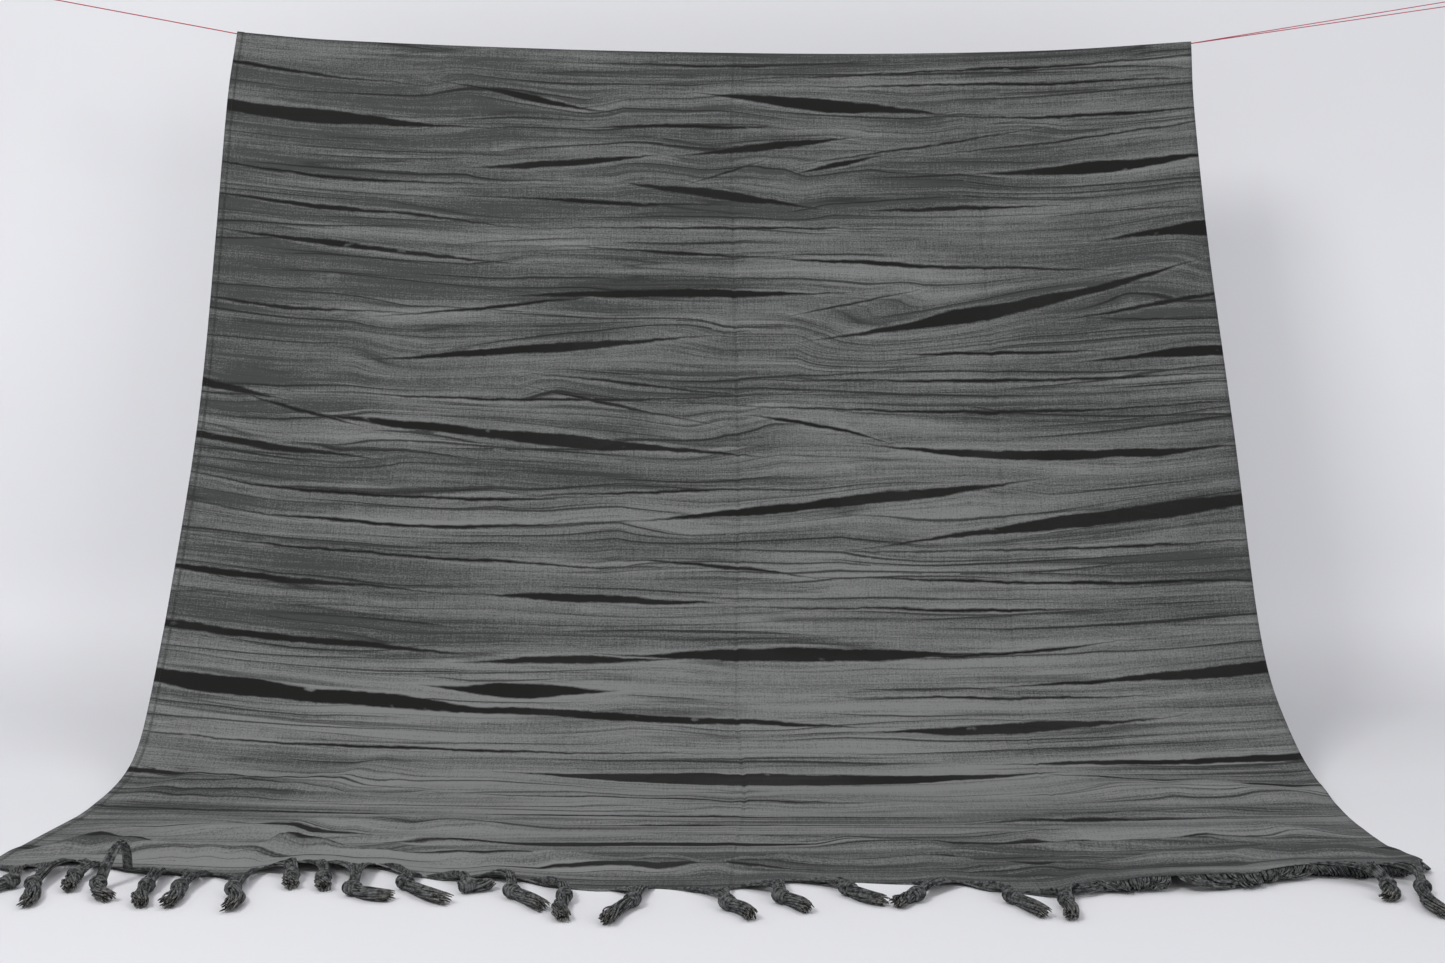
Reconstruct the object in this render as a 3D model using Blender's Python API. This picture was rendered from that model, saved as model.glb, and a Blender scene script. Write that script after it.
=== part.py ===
"""Tie-dyed cotton throw hung over a doubled red line, with its front swept out over the floor.

The throw is one woven sheet. Its front hangs down from the line, slopes forward, bends on to the
floor and lies on it, and its front hem carries a row of knotted tassels. The line is one string,
doubled: both ends are knotted to a wall eye on the left and its bight goes round one on the right.

Metres, +Z up. The floor is z = 0, the front faces -Y, and X runs across the throw.
"""

import math

import bmesh
import bpy
import numpy as np
from mathutils import Matrix, Vector

# Sheet
CLOTH_WIDTH = 2.2
CLOTH_THICKNESS = 0.002
SIDE_HEM_WIDTH = 0.014
SIDE_HEM_THICKNESS = 0.003
BACK_FLAP_LENGTH = 0.30
SHEET_COLUMNS = 36
GAP = 0.0003
ROOT_GAP = 0.0005

# Line and wall eyes
LINE_Y = 0.765
STRING_RADIUS = 0.001
STRAND_SPACING = 2 * STRING_RADIUS + GAP
FOLD_INNER_RADIUS = 0.0026
FOLD_STEPS = 5
WALL_X = 1.745
LEFT_LINE_RISE = 0.186
RIGHT_LINE_RISE = 0.153
EYE_PLATE_RADIUS = 0.022
EYE_PLATE_THICKNESS = 0.003
EYE_WIRE_RADIUS = 0.004
EYE_RING_RADIUS = 0.013
EYE_STEM_LENGTH = 0.008
KNOT_RADIUS = 0.0045
KNOT_DISTANCE = 0.026
BIGHT_CLEARANCE = 0.0005

# Top of the fold over the line: place across, height of the crown
CROWN_HEIGHTS = (
    (-1.10, 1.589),
    (-0.89, 1.571),
    (-0.38, 1.550),
    (0.00, 1.5415),
    (0.38, 1.539),
    (0.78, 1.547),
    (1.10, 1.567),
)

# Side view of the front: distance along the cloth above where it meets the floor, slope in degrees
HANG_SLOPES = (
    (0.00, 0.0),
    (0.08, 5.5),
    (0.16, 10.0),
    (0.24, 20.0),
    (0.30, 33.0),
    (0.36, 41.0),
    (0.44, 47.0),
    (0.52, 55.0),
    (0.62, 61.5),
    (0.80, 64.5),
    (1.05, 67.0),
    (1.30, 69.0),
    (1.60, 71.5),
    (2.20, 72.0),
)
CURVE_STEP = 0.004

# Sideways drift of the whole width: share of the front from the line to the hem, shift
SIDEWAYS_DRIFT = (
    (0.00, 0.000),
    (0.07, -0.007),
    (0.22, -0.003),
    (0.42, 0.006),
    (0.65, 0.000),
    (0.76, 0.013),
    (0.83, 0.007),
    (0.90, -0.005),
    (1.00, -0.016),
)

# Front hem: place across, place forward of the middle, lift off the floor
FRONT_HEM = (
    (-1.10, -0.500, 0.003),
    (-1.04, -0.506, 0.004),
    (-0.98, -0.482, 0.008),
    (-0.88, -0.515, 0.006),
    (-0.80, -0.535, 0.004),
    (-0.70, -0.540, 0.002),
    (-0.64, -0.506, 0.010),
    (-0.59, -0.520, 0.017),
    (-0.53, -0.506, 0.010),
    (-0.48, -0.518, 0.009),
    (-0.42, -0.548, 0.002),
    (-0.36, -0.560, 0.002),
    (-0.31, -0.560, 0.008),
    (-0.26, -0.576, 0.005),
    (-0.15, -0.618, 0.000),
    (-0.08, -0.602, 0.000),
    (0.02, -0.620, 0.001),
    (0.11, -0.588, 0.006),
    (0.20, -0.572, 0.000),
    (0.30, -0.584, 0.000),
    (0.37, -0.582, 0.005),
    (0.43, -0.615, 0.002),
    (0.51, -0.640, 0.002),
    (0.57, -0.620, 0.014),
    (0.66, -0.618, 0.022),
    (0.80, -0.596, 0.022),
    (0.92, -0.556, 0.023),
    (1.02, -0.560, 0.023),
    (1.10, -0.520, 0.017),
)
HEM_LIFT_RUN = 0.15

# Soft folds: across and distance from the front hem at both ends, height, half width
SOFT_FOLDS = (
    (-1.12, 0.08, -0.52, 0.095, 0.024, 0.042),
    (-0.62, 0.12, 0.22, 0.10, 0.013, 0.042),
    (0.24, 0.11, 0.66, 0.12, 0.011, 0.040),
    (0.58, 0.13, 1.13, 0.10, 0.020, 0.048),
    (-0.98, 0.24, -0.24, 0.31, 0.013, 0.055),
    (0.17, 0.21, 0.42, 0.20, 0.010, 0.036),
    (0.40, 0.33, 1.12, 0.25, 0.014, 0.055),
    (-1.10, 0.42, -0.52, 0.56, 0.014, 0.060),
    (0.60, 0.58, 1.14, 0.44, 0.016, 0.055),
    (-0.40, 0.50, 0.45, 0.47, 0.007, 0.060),
    (0.05, 2.20, 0.02, 0.05, -0.003, 0.030),
    (0.60, 1.95, 0.58, 0.45, -0.003, 0.032),
    (1.12, 2.15, 1.12, 0.50, -0.009, 0.075),
    (-0.85, 1.90, -0.72, 0.60, 0.006, 0.130),
    (0.28, 1.80, 0.34, 0.60, 0.006, 0.140),
)

# Tassels: root across, width of the fan at the hem, knot across and forward, tip across and forward,
# sideways bend of the brush, rise of the neck between hem and knot. A knot that lies behind the hem
# is tucked under the raised edge of the cloth, with its fan coming round in front.
TASSELS = (
    (-1.060, 0.044, -1.026, -0.605, -1.072, -0.690, 0.006, 0.004),
    (-1.000, 0.046, -0.988, -0.615, -0.962, -0.708, -0.006, 0.006),
    (-0.935, 0.030, -0.945, -0.570, -0.930, -0.632, 0.002, 0.004),
    (-0.868, 0.030, -0.893, -0.615, -0.853, -0.676, 0.006, 0.046),
    (-0.825, 0.034, -0.818, -0.626, -0.797, -0.708, 0.004, 0.006),
    (-0.765, 0.044, -0.768, -0.632, -0.765, -0.710, -0.005, 0.006),
    (-0.700, 0.052, -0.688, -0.640, -0.672, -0.726, -0.010, 0.002),
    (-0.645, 0.034, -0.622, -0.572, -0.610, -0.616, 0.002, 0.008),
    (-0.592, 0.026, -0.572, -0.584, -0.560, -0.625, 0.002, 0.004),
    (-0.536, 0.052, -0.516, -0.640, -0.452, -0.668, 0.006, 0.006),
    (-0.455, 0.048, -0.446, -0.610, -0.366, -0.690, 0.004, 0.004),
    (-0.380, 0.040, -0.352, -0.626, -0.318, -0.603, 0.004, 0.008),
    (-0.305, 0.034, -0.284, -0.652, -0.230, -0.722, -0.004, 0.010),
    (-0.225, 0.034, -0.206, -0.674, -0.198, -0.766, 0.006, 0.006),
    (-0.100, 0.044, -0.108, -0.694, -0.142, -0.7825, 0.004, 0.004),
    (0.004, 0.060, 0.026, -0.706, 0.058, -0.762, -0.008, 0.003),
    (0.092, 0.044, 0.102, -0.676, 0.138, -0.730, -0.006, 0.006),
    (0.176, 0.052, 0.200, -0.640, 0.252, -0.694, 0.004, 0.003),
    (0.352, 0.050, 0.296, -0.668, 0.262, -0.706, 0.004, 0.006),
    (0.418, 0.036, 0.430, -0.676, 0.464, -0.752, -0.004, 0.004),
    (0.514, 0.052, 0.504, -0.692, 0.494, -0.766, -0.004, 0.004),
    (0.610, 0.040, 0.620, -0.597, 0.627, -0.560, 0.001, 0.000),
    (0.812, 0.056, 0.820, -0.571, 0.828, -0.533, 0.001, 0.000),
    (0.960, 0.040, 0.988, -0.622, 0.962, -0.676, -0.008, 0.006),
    (1.056, 0.034, 1.034, -0.632, 1.014, -0.760, 0.008, 0.006),
)
FAN_STRANDS = 3
TASSEL_KNOT_SIZE = (0.0140, 0.0130, 0.0115)
TUCKED_KNOT_HEIGHT = 0.0072
TUCKED_FAN_REACH = 0.012
LOCK_SIZE = 0.0098
LOCK_SPACING = 0.0112
LOCK_SPREAD = 0.0018
FAN_STRAND_WIDTH = 0.006
FAN_STRAND_HEIGHT = 0.0022
FAN_END_SPACING = 0.0048
FAN_END_BACK = 0.004

CLOTH_GREY = (0.085, 0.088, 0.087)
YARN_GREY = (0.060, 0.062, 0.061)
STRING_RED = (0.55, 0.03, 0.06)
STEEL_GREY = (0.42, 0.42, 0.43)


def follow(rows, column, place):
    """Smooth value of one column at a place, the rows' first column being the place."""
    places = [row[0] for row in rows]
    values = [row[column] for row in rows]
    if place <= places[0]:
        return values[0]
    if place >= places[-1]:
        return values[-1]
    start = max(index for index, known in enumerate(places) if known <= place)

    def slope(index):
        low = max(index - 1, 0)
        high = min(index + 1, len(places) - 1)
        return (values[high] - values[low]) / (places[high] - places[low])

    span = places[start + 1] - places[start]
    share = (place - places[start]) / span
    square = share * share
    cube = square * share
    return (
        (2 * cube - 3 * square + 1) * values[start]
        + (cube - 2 * square + share) * span * slope(start)
        + (3 * square - 2 * cube) * values[start + 1]
        + (cube - square) * span * slope(start + 1)
    )


def ease(share):
    """Zero to one with level ends."""
    share = min(max(share, 0.0), 1.0)
    return share * share * (3 - 2 * share)


def line_height(across):
    """Height of the middle of the line, under the throw and out to the wall eyes."""
    half = CLOTH_WIDTH / 2
    inside = min(max(across, -half), half)
    height = follow(CROWN_HEIGHTS, 1, inside) - CLOTH_THICKNESS - FOLD_INNER_RADIUS
    if across < -half:
        height += LEFT_LINE_RISE * (-half - across)
    if across > half:
        height += RIGHT_LINE_RISE * (across - half)
    return height


def hanging_curve():
    """Distance along the cloth, run and height from where the front meets the floor, and slope."""
    along = np.arange(0.0, HANG_SLOPES[-1][0], CURVE_STEP)
    slopes = np.radians([follow(HANG_SLOPES, 1, float(place)) for place in along])
    run = np.concatenate([[0.0], np.cumsum(np.cos(slopes[:-1]) * CURVE_STEP)])
    height = np.concatenate([[0.0], np.cumsum(np.sin(slopes[:-1]) * CURVE_STEP)])
    return along, run, height, slopes


ALONG, RUN, HEIGHT, SLOPES = hanging_curve()
TOP_SLOPE = math.radians(HANG_SLOPES[-1][1])


def fold_height(across, hem_distance):
    """How far the soft folds raise the cloth at one place."""
    total = 0.0
    for from_x, from_hem, to_x, to_hem, height, half_width in SOFT_FOLDS:
        run = Vector((to_x - from_x, to_hem - from_hem))
        offset = Vector((across - from_x, hem_distance - from_hem))
        share = offset.dot(run) / run.length_squared
        side = abs(offset.x * run.y - offset.y * run.x) / run.length
        if 0 < share < 1 and side < half_width:
            ends = ease(share / 0.25) * ease((1 - share) / 0.25)
            total += height * ends * (1 + math.cos(math.pi * side / half_width)) / 2
    return total


def hanging_shares():
    """Shares of the hanging length for the sheet's rows, closer together near the floor."""
    upper = [index / 9 * 0.66 for index in range(1, 10)]
    lower = [0.66 + index / 11 * 0.34 for index in range(1, 12)]
    return upper + lower


def floor_shares():
    """Shares of the length on the floor for the sheet's rows."""
    steps = 13
    return [index / steps for index in range(1, steps + 1)]


def sheet_column(across):
    """The underside of the sheet down one line of its length, from the back hem to the front hem."""
    centre = Vector((LINE_Y, line_height(across)))
    points = []
    for share in (1.0, 0.66, 0.33, 0.08):
        points.append((LINE_Y + FOLD_INNER_RADIUS, centre.y - BACK_FLAP_LENGTH * share))
    for step in range(FOLD_STEPS + 1):
        angle = (math.pi / 2 + TOP_SLOPE) * step / FOLD_STEPS
        points.append((centre.x + FOLD_INNER_RADIUS * math.cos(angle),
                       centre.y + FOLD_INNER_RADIUS * math.sin(angle)))
    start_y, start_z = points[-1]
    hung = float(np.interp(start_z, HEIGHT, ALONG))
    touch_y = start_y - float(np.interp(hung, ALONG, RUN))
    hem_y = follow(FRONT_HEM, 1, across)
    hem_lift = max(follow(FRONT_HEM, 2, across), 0.0)
    on_floor = touch_y - hem_y
    for share in hanging_shares():
        up = hung * (1 - share)
        slope = float(np.interp(up, ALONG, SLOPES))
        raised = fold_height(across, up + on_floor) * ease(share / 0.08)
        height = float(np.interp(up, ALONG, HEIGHT)) + raised * math.cos(slope)
        points.append((touch_y + float(np.interp(up, ALONG, RUN)) - raised * math.sin(slope),
                       max(height, 0.0)))
    for share in floor_shares():
        hem_distance = on_floor * (1 - share)
        lift = hem_lift * (1 - ease(hem_distance / HEM_LIFT_RUN))
        points.append((touch_y - on_floor * share, max(lift + fold_height(across, hem_distance), 0.0)))
    full = hung + on_floor
    column = []
    back_rows = 4 + FOLD_STEPS + 1
    lengths = [0.0] * back_rows
    lengths += [hung * share / full for share in hanging_shares()]
    lengths += [(hung + on_floor * share) / full for share in floor_shares()]
    for (y, z), share in zip(points, lengths):
        column.append(Vector((across + follow(SIDEWAYS_DRIFT, 1, share), y, z)))
    return column


def sheet_places():
    """Places across the sheet: the turned hem on the left, then even steps."""
    half = CLOTH_WIDTH / 2
    hem_end = -half + SIDE_HEM_WIDTH
    first = hem_end + SIDE_HEM_THICKNESS
    even = [first + (half - first) * step / SHEET_COLUMNS for step in range(SHEET_COLUMNS + 1)]
    return [-half, hem_end] + even


def new_material(name, colour, roughness, metallic=0.0):
    material = bpy.data.materials.new(name)
    material.use_nodes = True
    shader = material.node_tree.nodes["Principled BSDF"]
    shader.inputs["Base Color"].default_value = (*colour, 1.0)
    shader.inputs["Roughness"].default_value = roughness
    shader.inputs["Metallic"].default_value = metallic
    return material


def new_object(name, bm, material):
    """Object from a bmesh, smooth over its gentle edges."""
    bmesh.ops.recalc_face_normals(bm, faces=bm.faces)
    mesh = bpy.data.meshes.new(name)
    bm.to_mesh(mesh)
    bm.free()
    mesh.shade_smooth()
    mesh.set_sharp_from_angle(angle=math.radians(40))
    mesh.materials.append(material)
    thing = bpy.data.objects.new(name, mesh)
    bpy.context.scene.collection.objects.link(thing)
    return thing


def join_by_union(thing, helper):
    """Fuse a helper's shells into an object, the helper staying as a hidden guide."""
    helper.hide_render = True
    helper.display_type = "WIRE"
    union = thing.modifiers.new("union", "BOOLEAN")
    union.operation = "UNION"
    union.solver = "EXACT"
    union.use_self = True
    union.object = helper


def loft(bm, sections):
    """Closed solid through rings of corners."""
    rings = []
    for corners in sections:
        verts = [bm.verts.new(corner) for corner in corners]
        rings.append([bm.edges.new((verts[index - 1], verts[index])) for index in range(len(verts))])
    for near, far in zip(rings, rings[1:]):
        bmesh.ops.bridge_loops(bm, edges=near + far)
    for ring in (rings[0], rings[-1]):
        bmesh.ops.contextual_create(bm, geom=ring)


def make_throw():
    """The woven sheet, one solid, with its thicker turned hem down the left side."""
    places = sheet_places()
    columns = [sheet_column(across) for across in places]
    rows = len(columns[0])
    bm = bmesh.new()
    bmesh.ops.create_grid(bm, x_segments=len(places) - 1, y_segments=rows - 1, size=1.0)
    hem_verts = []
    for vert in bm.verts:
        column = round((vert.co.x + 1) / 2 * (len(places) - 1))
        row = round((1 - vert.co.y) / 2 * (rows - 1))
        vert.co = columns[column][row]
        if column < 2:
            hem_verts.append(vert.index)
    mesh = bpy.data.meshes.new("throw")
    bm.to_mesh(mesh)
    bm.free()
    mesh.shade_smooth()
    mesh.materials.append(new_material("dyed_cotton", CLOTH_GREY, 0.95))
    throw = bpy.data.objects.new("throw", mesh)
    bpy.context.scene.collection.objects.link(throw)
    group = throw.vertex_groups.new(name="thickness")
    group.add(range(len(mesh.vertices)), CLOTH_THICKNESS / SIDE_HEM_THICKNESS, "REPLACE")
    group.add(hem_verts, 1.0, "REPLACE")
    skin = throw.modifiers.new("thickness", "SOLIDIFY")
    skin.thickness = SIDE_HEM_THICKNESS
    skin.vertex_group = group.name
    skin.offset = 1.0
    skin.use_even_offset = True
    return [hem_front(column) for column in columns]


def hem_front(column):
    """Foremost point of the hem's edge at the end of one column, at the height of its underside."""
    last = column[-1]
    fall = (column[-2] - last).normalized().z
    return Vector((last.x, last.y - CLOTH_THICKNESS * max(fall, 0.0), last.z))


def hem_place(hem, across):
    """Point on the hem's edge at a place across the throw."""
    for start, end in zip(hem, hem[1:]):
        if start.x <= across <= end.x:
            return start.lerp(end, (across - start.x) / (end.x - start.x))
    raise ValueError("root lies outside the hem")


def section(middle, side, up, width, height):
    """Four corners of a strand's cross section."""
    half_side = side * (width / 2)
    half_up = up * (height / 2)
    return [middle - half_side - half_up, middle + half_side - half_up,
            middle + half_side + half_up, middle - half_side + half_up]


def fan_strand(bm, hem, root_x, knot, knot_offset, rise):
    """One strand of the fan, from the hem's edge into the knot."""
    up = Vector((0, 0, 1))
    along_hem = Vector((1, 0, 0))
    half_width = FAN_STRAND_WIDTH / 2
    near = [hem_place(hem, root_x - half_width), hem_place(hem, root_x + half_width)]
    near += [corner for corner in hem if abs(corner.x - root_x) < half_width]
    front = min(place.y for place in near) - ROOT_GAP
    start = Vector((root_x, front, max(place.z for place in near) + FAN_STRAND_HEIGHT / 2))
    end = knot + knot_offset
    middle = start.lerp(end, 0.5) + up * rise
    middle_up = up
    end_up = up
    if knot.y > front:
        middle = Vector((middle.x, front - TUCKED_FAN_REACH, LOCK_SIZE))
        middle_up = Vector((0, -1, 0))
        end_up = -up
    heading = (end - start).normalized()
    side = heading.cross(up).normalized()
    if side.x < 0:
        side = -side
    loft(bm, [
        section(start, along_hem, up, FAN_STRAND_WIDTH, FAN_STRAND_HEIGHT),
        section(middle, side, middle_up, FAN_STRAND_WIDTH, FAN_STRAND_HEIGHT * 1.6),
        section(end, side, end_up, FAN_STRAND_WIDTH * 0.7, FAN_STRAND_HEIGHT * 2),
    ])


def brush_lock(bm, knot, tip, bend, lane, level):
    """One lock of the brush, lying level from the knot to the tip."""
    up = Vector((0, 0, 1))
    heading = Vector((tip.x - knot.x, tip.y - knot.y, 0)).normalized()
    side = heading.cross(up)
    base = LOCK_SIZE / 2 + level * LOCK_SPACING
    sections = []
    for share, width in ((0.02, 0.72), (0.45, 1.0), (1.0, 0.92)):
        spread = LOCK_SPACING / 2 + LOCK_SPREAD * share
        middle = Vector((knot.x, knot.y, 0)).lerp(Vector((tip.x, tip.y, 0)), share)
        middle += side * (lane * spread + bend * math.sin(math.pi * share))
        middle.z = base
        sections.append(section(middle, side, up, LOCK_SIZE * width, LOCK_SIZE))
    loft(bm, sections)


def make_tassel(number, row, hem, material):
    """One knotted tassel: fan of strands from the hem, knot, and brush of four locks."""
    root_x, fan_width, knot_x, knot_y, tip_x, tip_y, bend, rise = row
    name = "tassel_%02d" % number
    length, width, height = TASSEL_KNOT_SIZE
    tucked = knot_y > hem_place(hem, knot_x).y
    fan_end_y = FAN_END_BACK
    if tucked:
        height = TUCKED_KNOT_HEIGHT
        fan_end_y = -FAN_END_BACK
    knot = Vector((knot_x, knot_y, height + GAP))
    tip = Vector((tip_x, tip_y, height))
    heading = math.atan2(tip_y - knot_y, tip_x - knot_x)
    strands = bmesh.new()
    for index in range(FAN_STRANDS):
        lane = index - (FAN_STRANDS - 1) / 2
        offset = Vector((lane * FAN_END_SPACING, fan_end_y, 0.0))
        fan_strand(strands, hem, root_x + lane * fan_width / (FAN_STRANDS - 1), knot, offset, rise)
    for lane in (-1, 1):
        for level in range(1 if tucked else 2):
            brush_lock(strands, knot, tip, bend, lane, level)
    helper = new_object(name + "_strands", strands, material)
    head = bmesh.new()
    place = Matrix.Translation(knot) @ Matrix.Rotation(heading, 4, "Z")
    place = place @ Matrix.Diagonal((length, width, height, 1))
    bmesh.ops.create_uvsphere(head, u_segments=8, v_segments=6, radius=1.0, matrix=place)
    join_by_union(new_object(name, head, material), helper)


def ring_of_corners(middle, first, second, radius, sides):
    """Corners of a round section spanned by two directions."""
    corners = []
    for index in range(sides):
        angle = 2 * math.pi * index / sides
        corners.append(middle + first * (radius * math.cos(angle)) + second * (radius * math.sin(angle)))
    return corners


def eye_wire_x(side):
    """Place across of the eye's wire where the line goes round it."""
    return side * (WALL_X - EYE_PLATE_THICKNESS - EYE_STEM_LENGTH - 2 * EYE_RING_RADIUS)


def make_wall_eye(name, side, material):
    """Round plate, stem and level ring, for a side wall at side * WALL_X."""
    height = line_height(eye_wire_x(side))
    plate = bmesh.new()
    turn = Matrix.Rotation(math.pi / 2, 4, "Y")
    middle = Vector((side * (WALL_X - EYE_PLATE_THICKNESS / 2), LINE_Y, height))
    bmesh.ops.create_cone(plate, cap_ends=True, segments=24, radius1=EYE_PLATE_RADIUS,
                          radius2=EYE_PLATE_RADIUS, depth=EYE_PLATE_THICKNESS,
                          matrix=Matrix.Translation(middle) @ turn)
    fittings = bmesh.new()
    stem_end = WALL_X - EYE_PLATE_THICKNESS - EYE_STEM_LENGTH - EYE_WIRE_RADIUS * 0.5
    stem_start = WALL_X - EYE_PLATE_THICKNESS * 0.5
    stem_middle = Vector((side * (stem_start + stem_end) / 2, LINE_Y, height))
    bmesh.ops.create_cone(fittings, cap_ends=True, segments=10, radius1=EYE_WIRE_RADIUS,
                          radius2=EYE_WIRE_RADIUS, depth=stem_start - stem_end,
                          matrix=Matrix.Translation(stem_middle) @ turn)
    centre = Vector((eye_wire_x(side) + side * EYE_RING_RADIUS, LINE_Y, height))
    wire_start = centre - Vector((side * EYE_RING_RADIUS, 0, 0))
    corners = ring_of_corners(wire_start, Vector((1, 0, 0)), Vector((0, 0, 1)), EYE_WIRE_RADIUS, 8)
    verts = [fittings.verts.new(corner) for corner in corners]
    edges = [fittings.edges.new((verts[index - 1], verts[index])) for index in range(len(verts))]
    bmesh.ops.spin(fittings, geom=verts + edges, cent=centre, axis=(0, 0, 1),
                   angle=2 * math.pi, steps=18, use_merge=True)
    helper = new_object(name + "_fittings", fittings, material)
    join_by_union(new_object(name, plate, material), helper)


def make_knot(material):
    """Knot on the left: the string's loop round the eye's wire and the ball of the knot."""
    wire = Vector((eye_wire_x(-1), LINE_Y, line_height(eye_wire_x(-1))))
    reach = EYE_WIRE_RADIUS + BIGHT_CLEARANCE + STRING_RADIUS
    knot = Vector((wire.x + KNOT_DISTANCE, LINE_Y, line_height(wire.x + KNOT_DISTANCE)))
    path = [knot + Vector((-0.002, 0, 0.0012))]
    for degrees in range(90, 271, 30):
        angle = math.radians(degrees)
        path.append(wire + Vector((reach * math.cos(angle), 0, reach * math.sin(angle))))
    path.append(knot + Vector((-0.002, 0, -0.0012)))
    sections = []
    for index, middle in enumerate(path):
        before = path[max(index - 1, 0)]
        after = path[min(index + 1, len(path) - 1)]
        across = (after - before).normalized().cross(Vector((0, 1, 0)))
        sections.append(ring_of_corners(middle, Vector((0, 1, 0)), across, STRING_RADIUS, 6))
    loop = bmesh.new()
    loft(loop, sections)
    helper = new_object("line_knot_loop", loop, material)
    ball = bmesh.new()
    place = Matrix.Translation(knot) @ Matrix.Diagonal((KNOT_RADIUS, KNOT_RADIUS, KNOT_RADIUS * 0.85, 1))
    bmesh.ops.create_uvsphere(ball, u_segments=10, v_segments=8, radius=1.0, matrix=place)
    join_by_union(new_object("line_knot", ball, material), helper)
    return knot


def line_route(knot):
    """Points of the doubled string: out along the front lane, round the right eye, and back."""
    places = sheet_places()[2:]
    half = CLOTH_WIDTH / 2
    stations = [knot.x + KNOT_RADIUS + GAP, -1.5, -1.3, -half]
    stations += places[0::2]
    stations += [1.2, 1.35, 1.5, 1.6]
    wire = Vector((eye_wire_x(1), LINE_Y, line_height(eye_wire_x(1))))
    reach = EYE_WIRE_RADIUS + BIGHT_CLEARANCE + STRING_RADIUS
    lane = STRAND_SPACING / 2

    def lane_point(across, side):
        parting = ease((across - half - 0.02) / (wire.x - half - 0.02))
        height = line_height(across) - side * reach * max(across - half, 0) / (wire.x - half)
        return Vector((across, LINE_Y + side * lane * (1 - parting), height))

    route = [lane_point(across, -1) for across in stations]
    for degrees in range(90, -91, -30):
        angle = math.radians(degrees)
        route.append(wire + Vector((reach * math.cos(angle), 0, reach * math.sin(angle))))
    route += [lane_point(across, 1) for across in reversed(stations)]
    return route


def make_line(route, material):
    """The string as a tube through its route."""
    data = bpy.data.curves.new("line", "CURVE")
    data.dimensions = "3D"
    data.bevel_depth = STRING_RADIUS
    data.bevel_resolution = 2
    data.use_fill_caps = True
    data.materials.append(material)
    spline = data.splines.new("POLY")
    spline.points.add(len(route) - 1)
    for point, place in zip(spline.points, route):
        point.co = (*place, 1.0)
    line = bpy.data.objects.new("line", data)
    bpy.context.scene.collection.objects.link(line)


def main():
    for thing in list(bpy.data.objects):
        bpy.data.objects.remove(thing, do_unlink=True)
    hem = make_throw()
    yarn = new_material("tassel_yarn", YARN_GREY, 0.95)
    for number, row in enumerate(TASSELS, start=1):
        make_tassel(number, row, hem, yarn)
    string = new_material("red_string", STRING_RED, 0.7)
    steel = new_material("plain_steel", STEEL_GREY, 0.35, 1.0)
    make_wall_eye("left_eye", -1, steel)
    make_wall_eye("right_eye", 1, steel)
    knot = make_knot(string)
    make_line(line_route(knot), string)


main()
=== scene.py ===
"""Looks of a tie-dyed cotton throw hung over a doubled red line and swept out over the floor.

The sheet, its side seam, the tassels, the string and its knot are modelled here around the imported
solids. The wall eyes keep their solids and get a steel finish. Metres, +Z up, the front faces -Y.
"""

import math
import random

import bmesh
import bpy
import numpy as np
from bpy.props import FloatProperty, FloatVectorProperty, IntProperty, PointerProperty
from mathutils import Matrix, Vector, noise


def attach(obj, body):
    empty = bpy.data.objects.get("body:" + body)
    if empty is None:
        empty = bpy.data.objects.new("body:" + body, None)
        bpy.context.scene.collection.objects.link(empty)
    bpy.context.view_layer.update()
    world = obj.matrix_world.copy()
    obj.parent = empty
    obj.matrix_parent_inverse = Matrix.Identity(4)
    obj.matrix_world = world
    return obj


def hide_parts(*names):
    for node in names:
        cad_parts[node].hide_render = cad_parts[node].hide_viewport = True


bl_info = {
    "name": "Tie-dyed throw over a line",
    "version": (1, 0, 0),
    "blender": (4, 5, 0),
    "location": "3D View > Sidebar > Throw",
    "description": "Builds a tasselled, tie-dyed cotton throw that hangs over a thin red line",
    "category": "Object",
}

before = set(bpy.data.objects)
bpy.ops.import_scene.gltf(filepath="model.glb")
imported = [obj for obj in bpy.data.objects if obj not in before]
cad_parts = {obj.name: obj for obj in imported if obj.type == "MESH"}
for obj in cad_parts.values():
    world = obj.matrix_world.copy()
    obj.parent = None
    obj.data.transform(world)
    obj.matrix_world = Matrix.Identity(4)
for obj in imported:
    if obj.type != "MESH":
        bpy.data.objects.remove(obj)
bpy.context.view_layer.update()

# Sheet
CLOTH_WIDTH = 2.2
CLOTH_LENGTH = 2.62
CLOTH_THICKNESS = 0.002
SIDE_HEM_WIDTH = 0.014
SIDE_HEM_COLUMNS = 3
SIDE_HEM_THICKNESS = 0.003
BACK_FLAP_LENGTH = 0.30
SHEET_COLUMNS = 168
BACK_ROWS = 12
FOLD_STEPS = 12
HANG_ROWS = 108
FLOOR_ROWS = 54
FOLDS_FADE_IN = 0.08
GAP = 0.0003

# Line and wall eyes
LINE_Y = 0.765
STRING_RADIUS = 0.001
STRAND_SPACING = 2 * STRING_RADIUS + GAP
FOLD_INNER_RADIUS = 0.0026
WALL_X = 1.745
LEFT_LINE_RISE = 0.186
RIGHT_LINE_RISE = 0.153
EYE_PLATE_THICKNESS = 0.003
EYE_WIRE_RADIUS = 0.004
EYE_RING_RADIUS = 0.013
EYE_STEM_LENGTH = 0.008
KNOT_RADIUS = 0.0045
KNOT_DISTANCE = 0.026
BIGHT_CLEARANCE = 0.0005
STRING_REACH = EYE_WIRE_RADIUS + BIGHT_CLEARANCE + STRING_RADIUS
LINE_STEPS = 18
LINE_LEFT_STATIONS = [-1.5, -1.3]
LINE_RIGHT_STATIONS = [1.2, 1.35, 1.5, 1.6]
PARTING_START = 0.02

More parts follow.
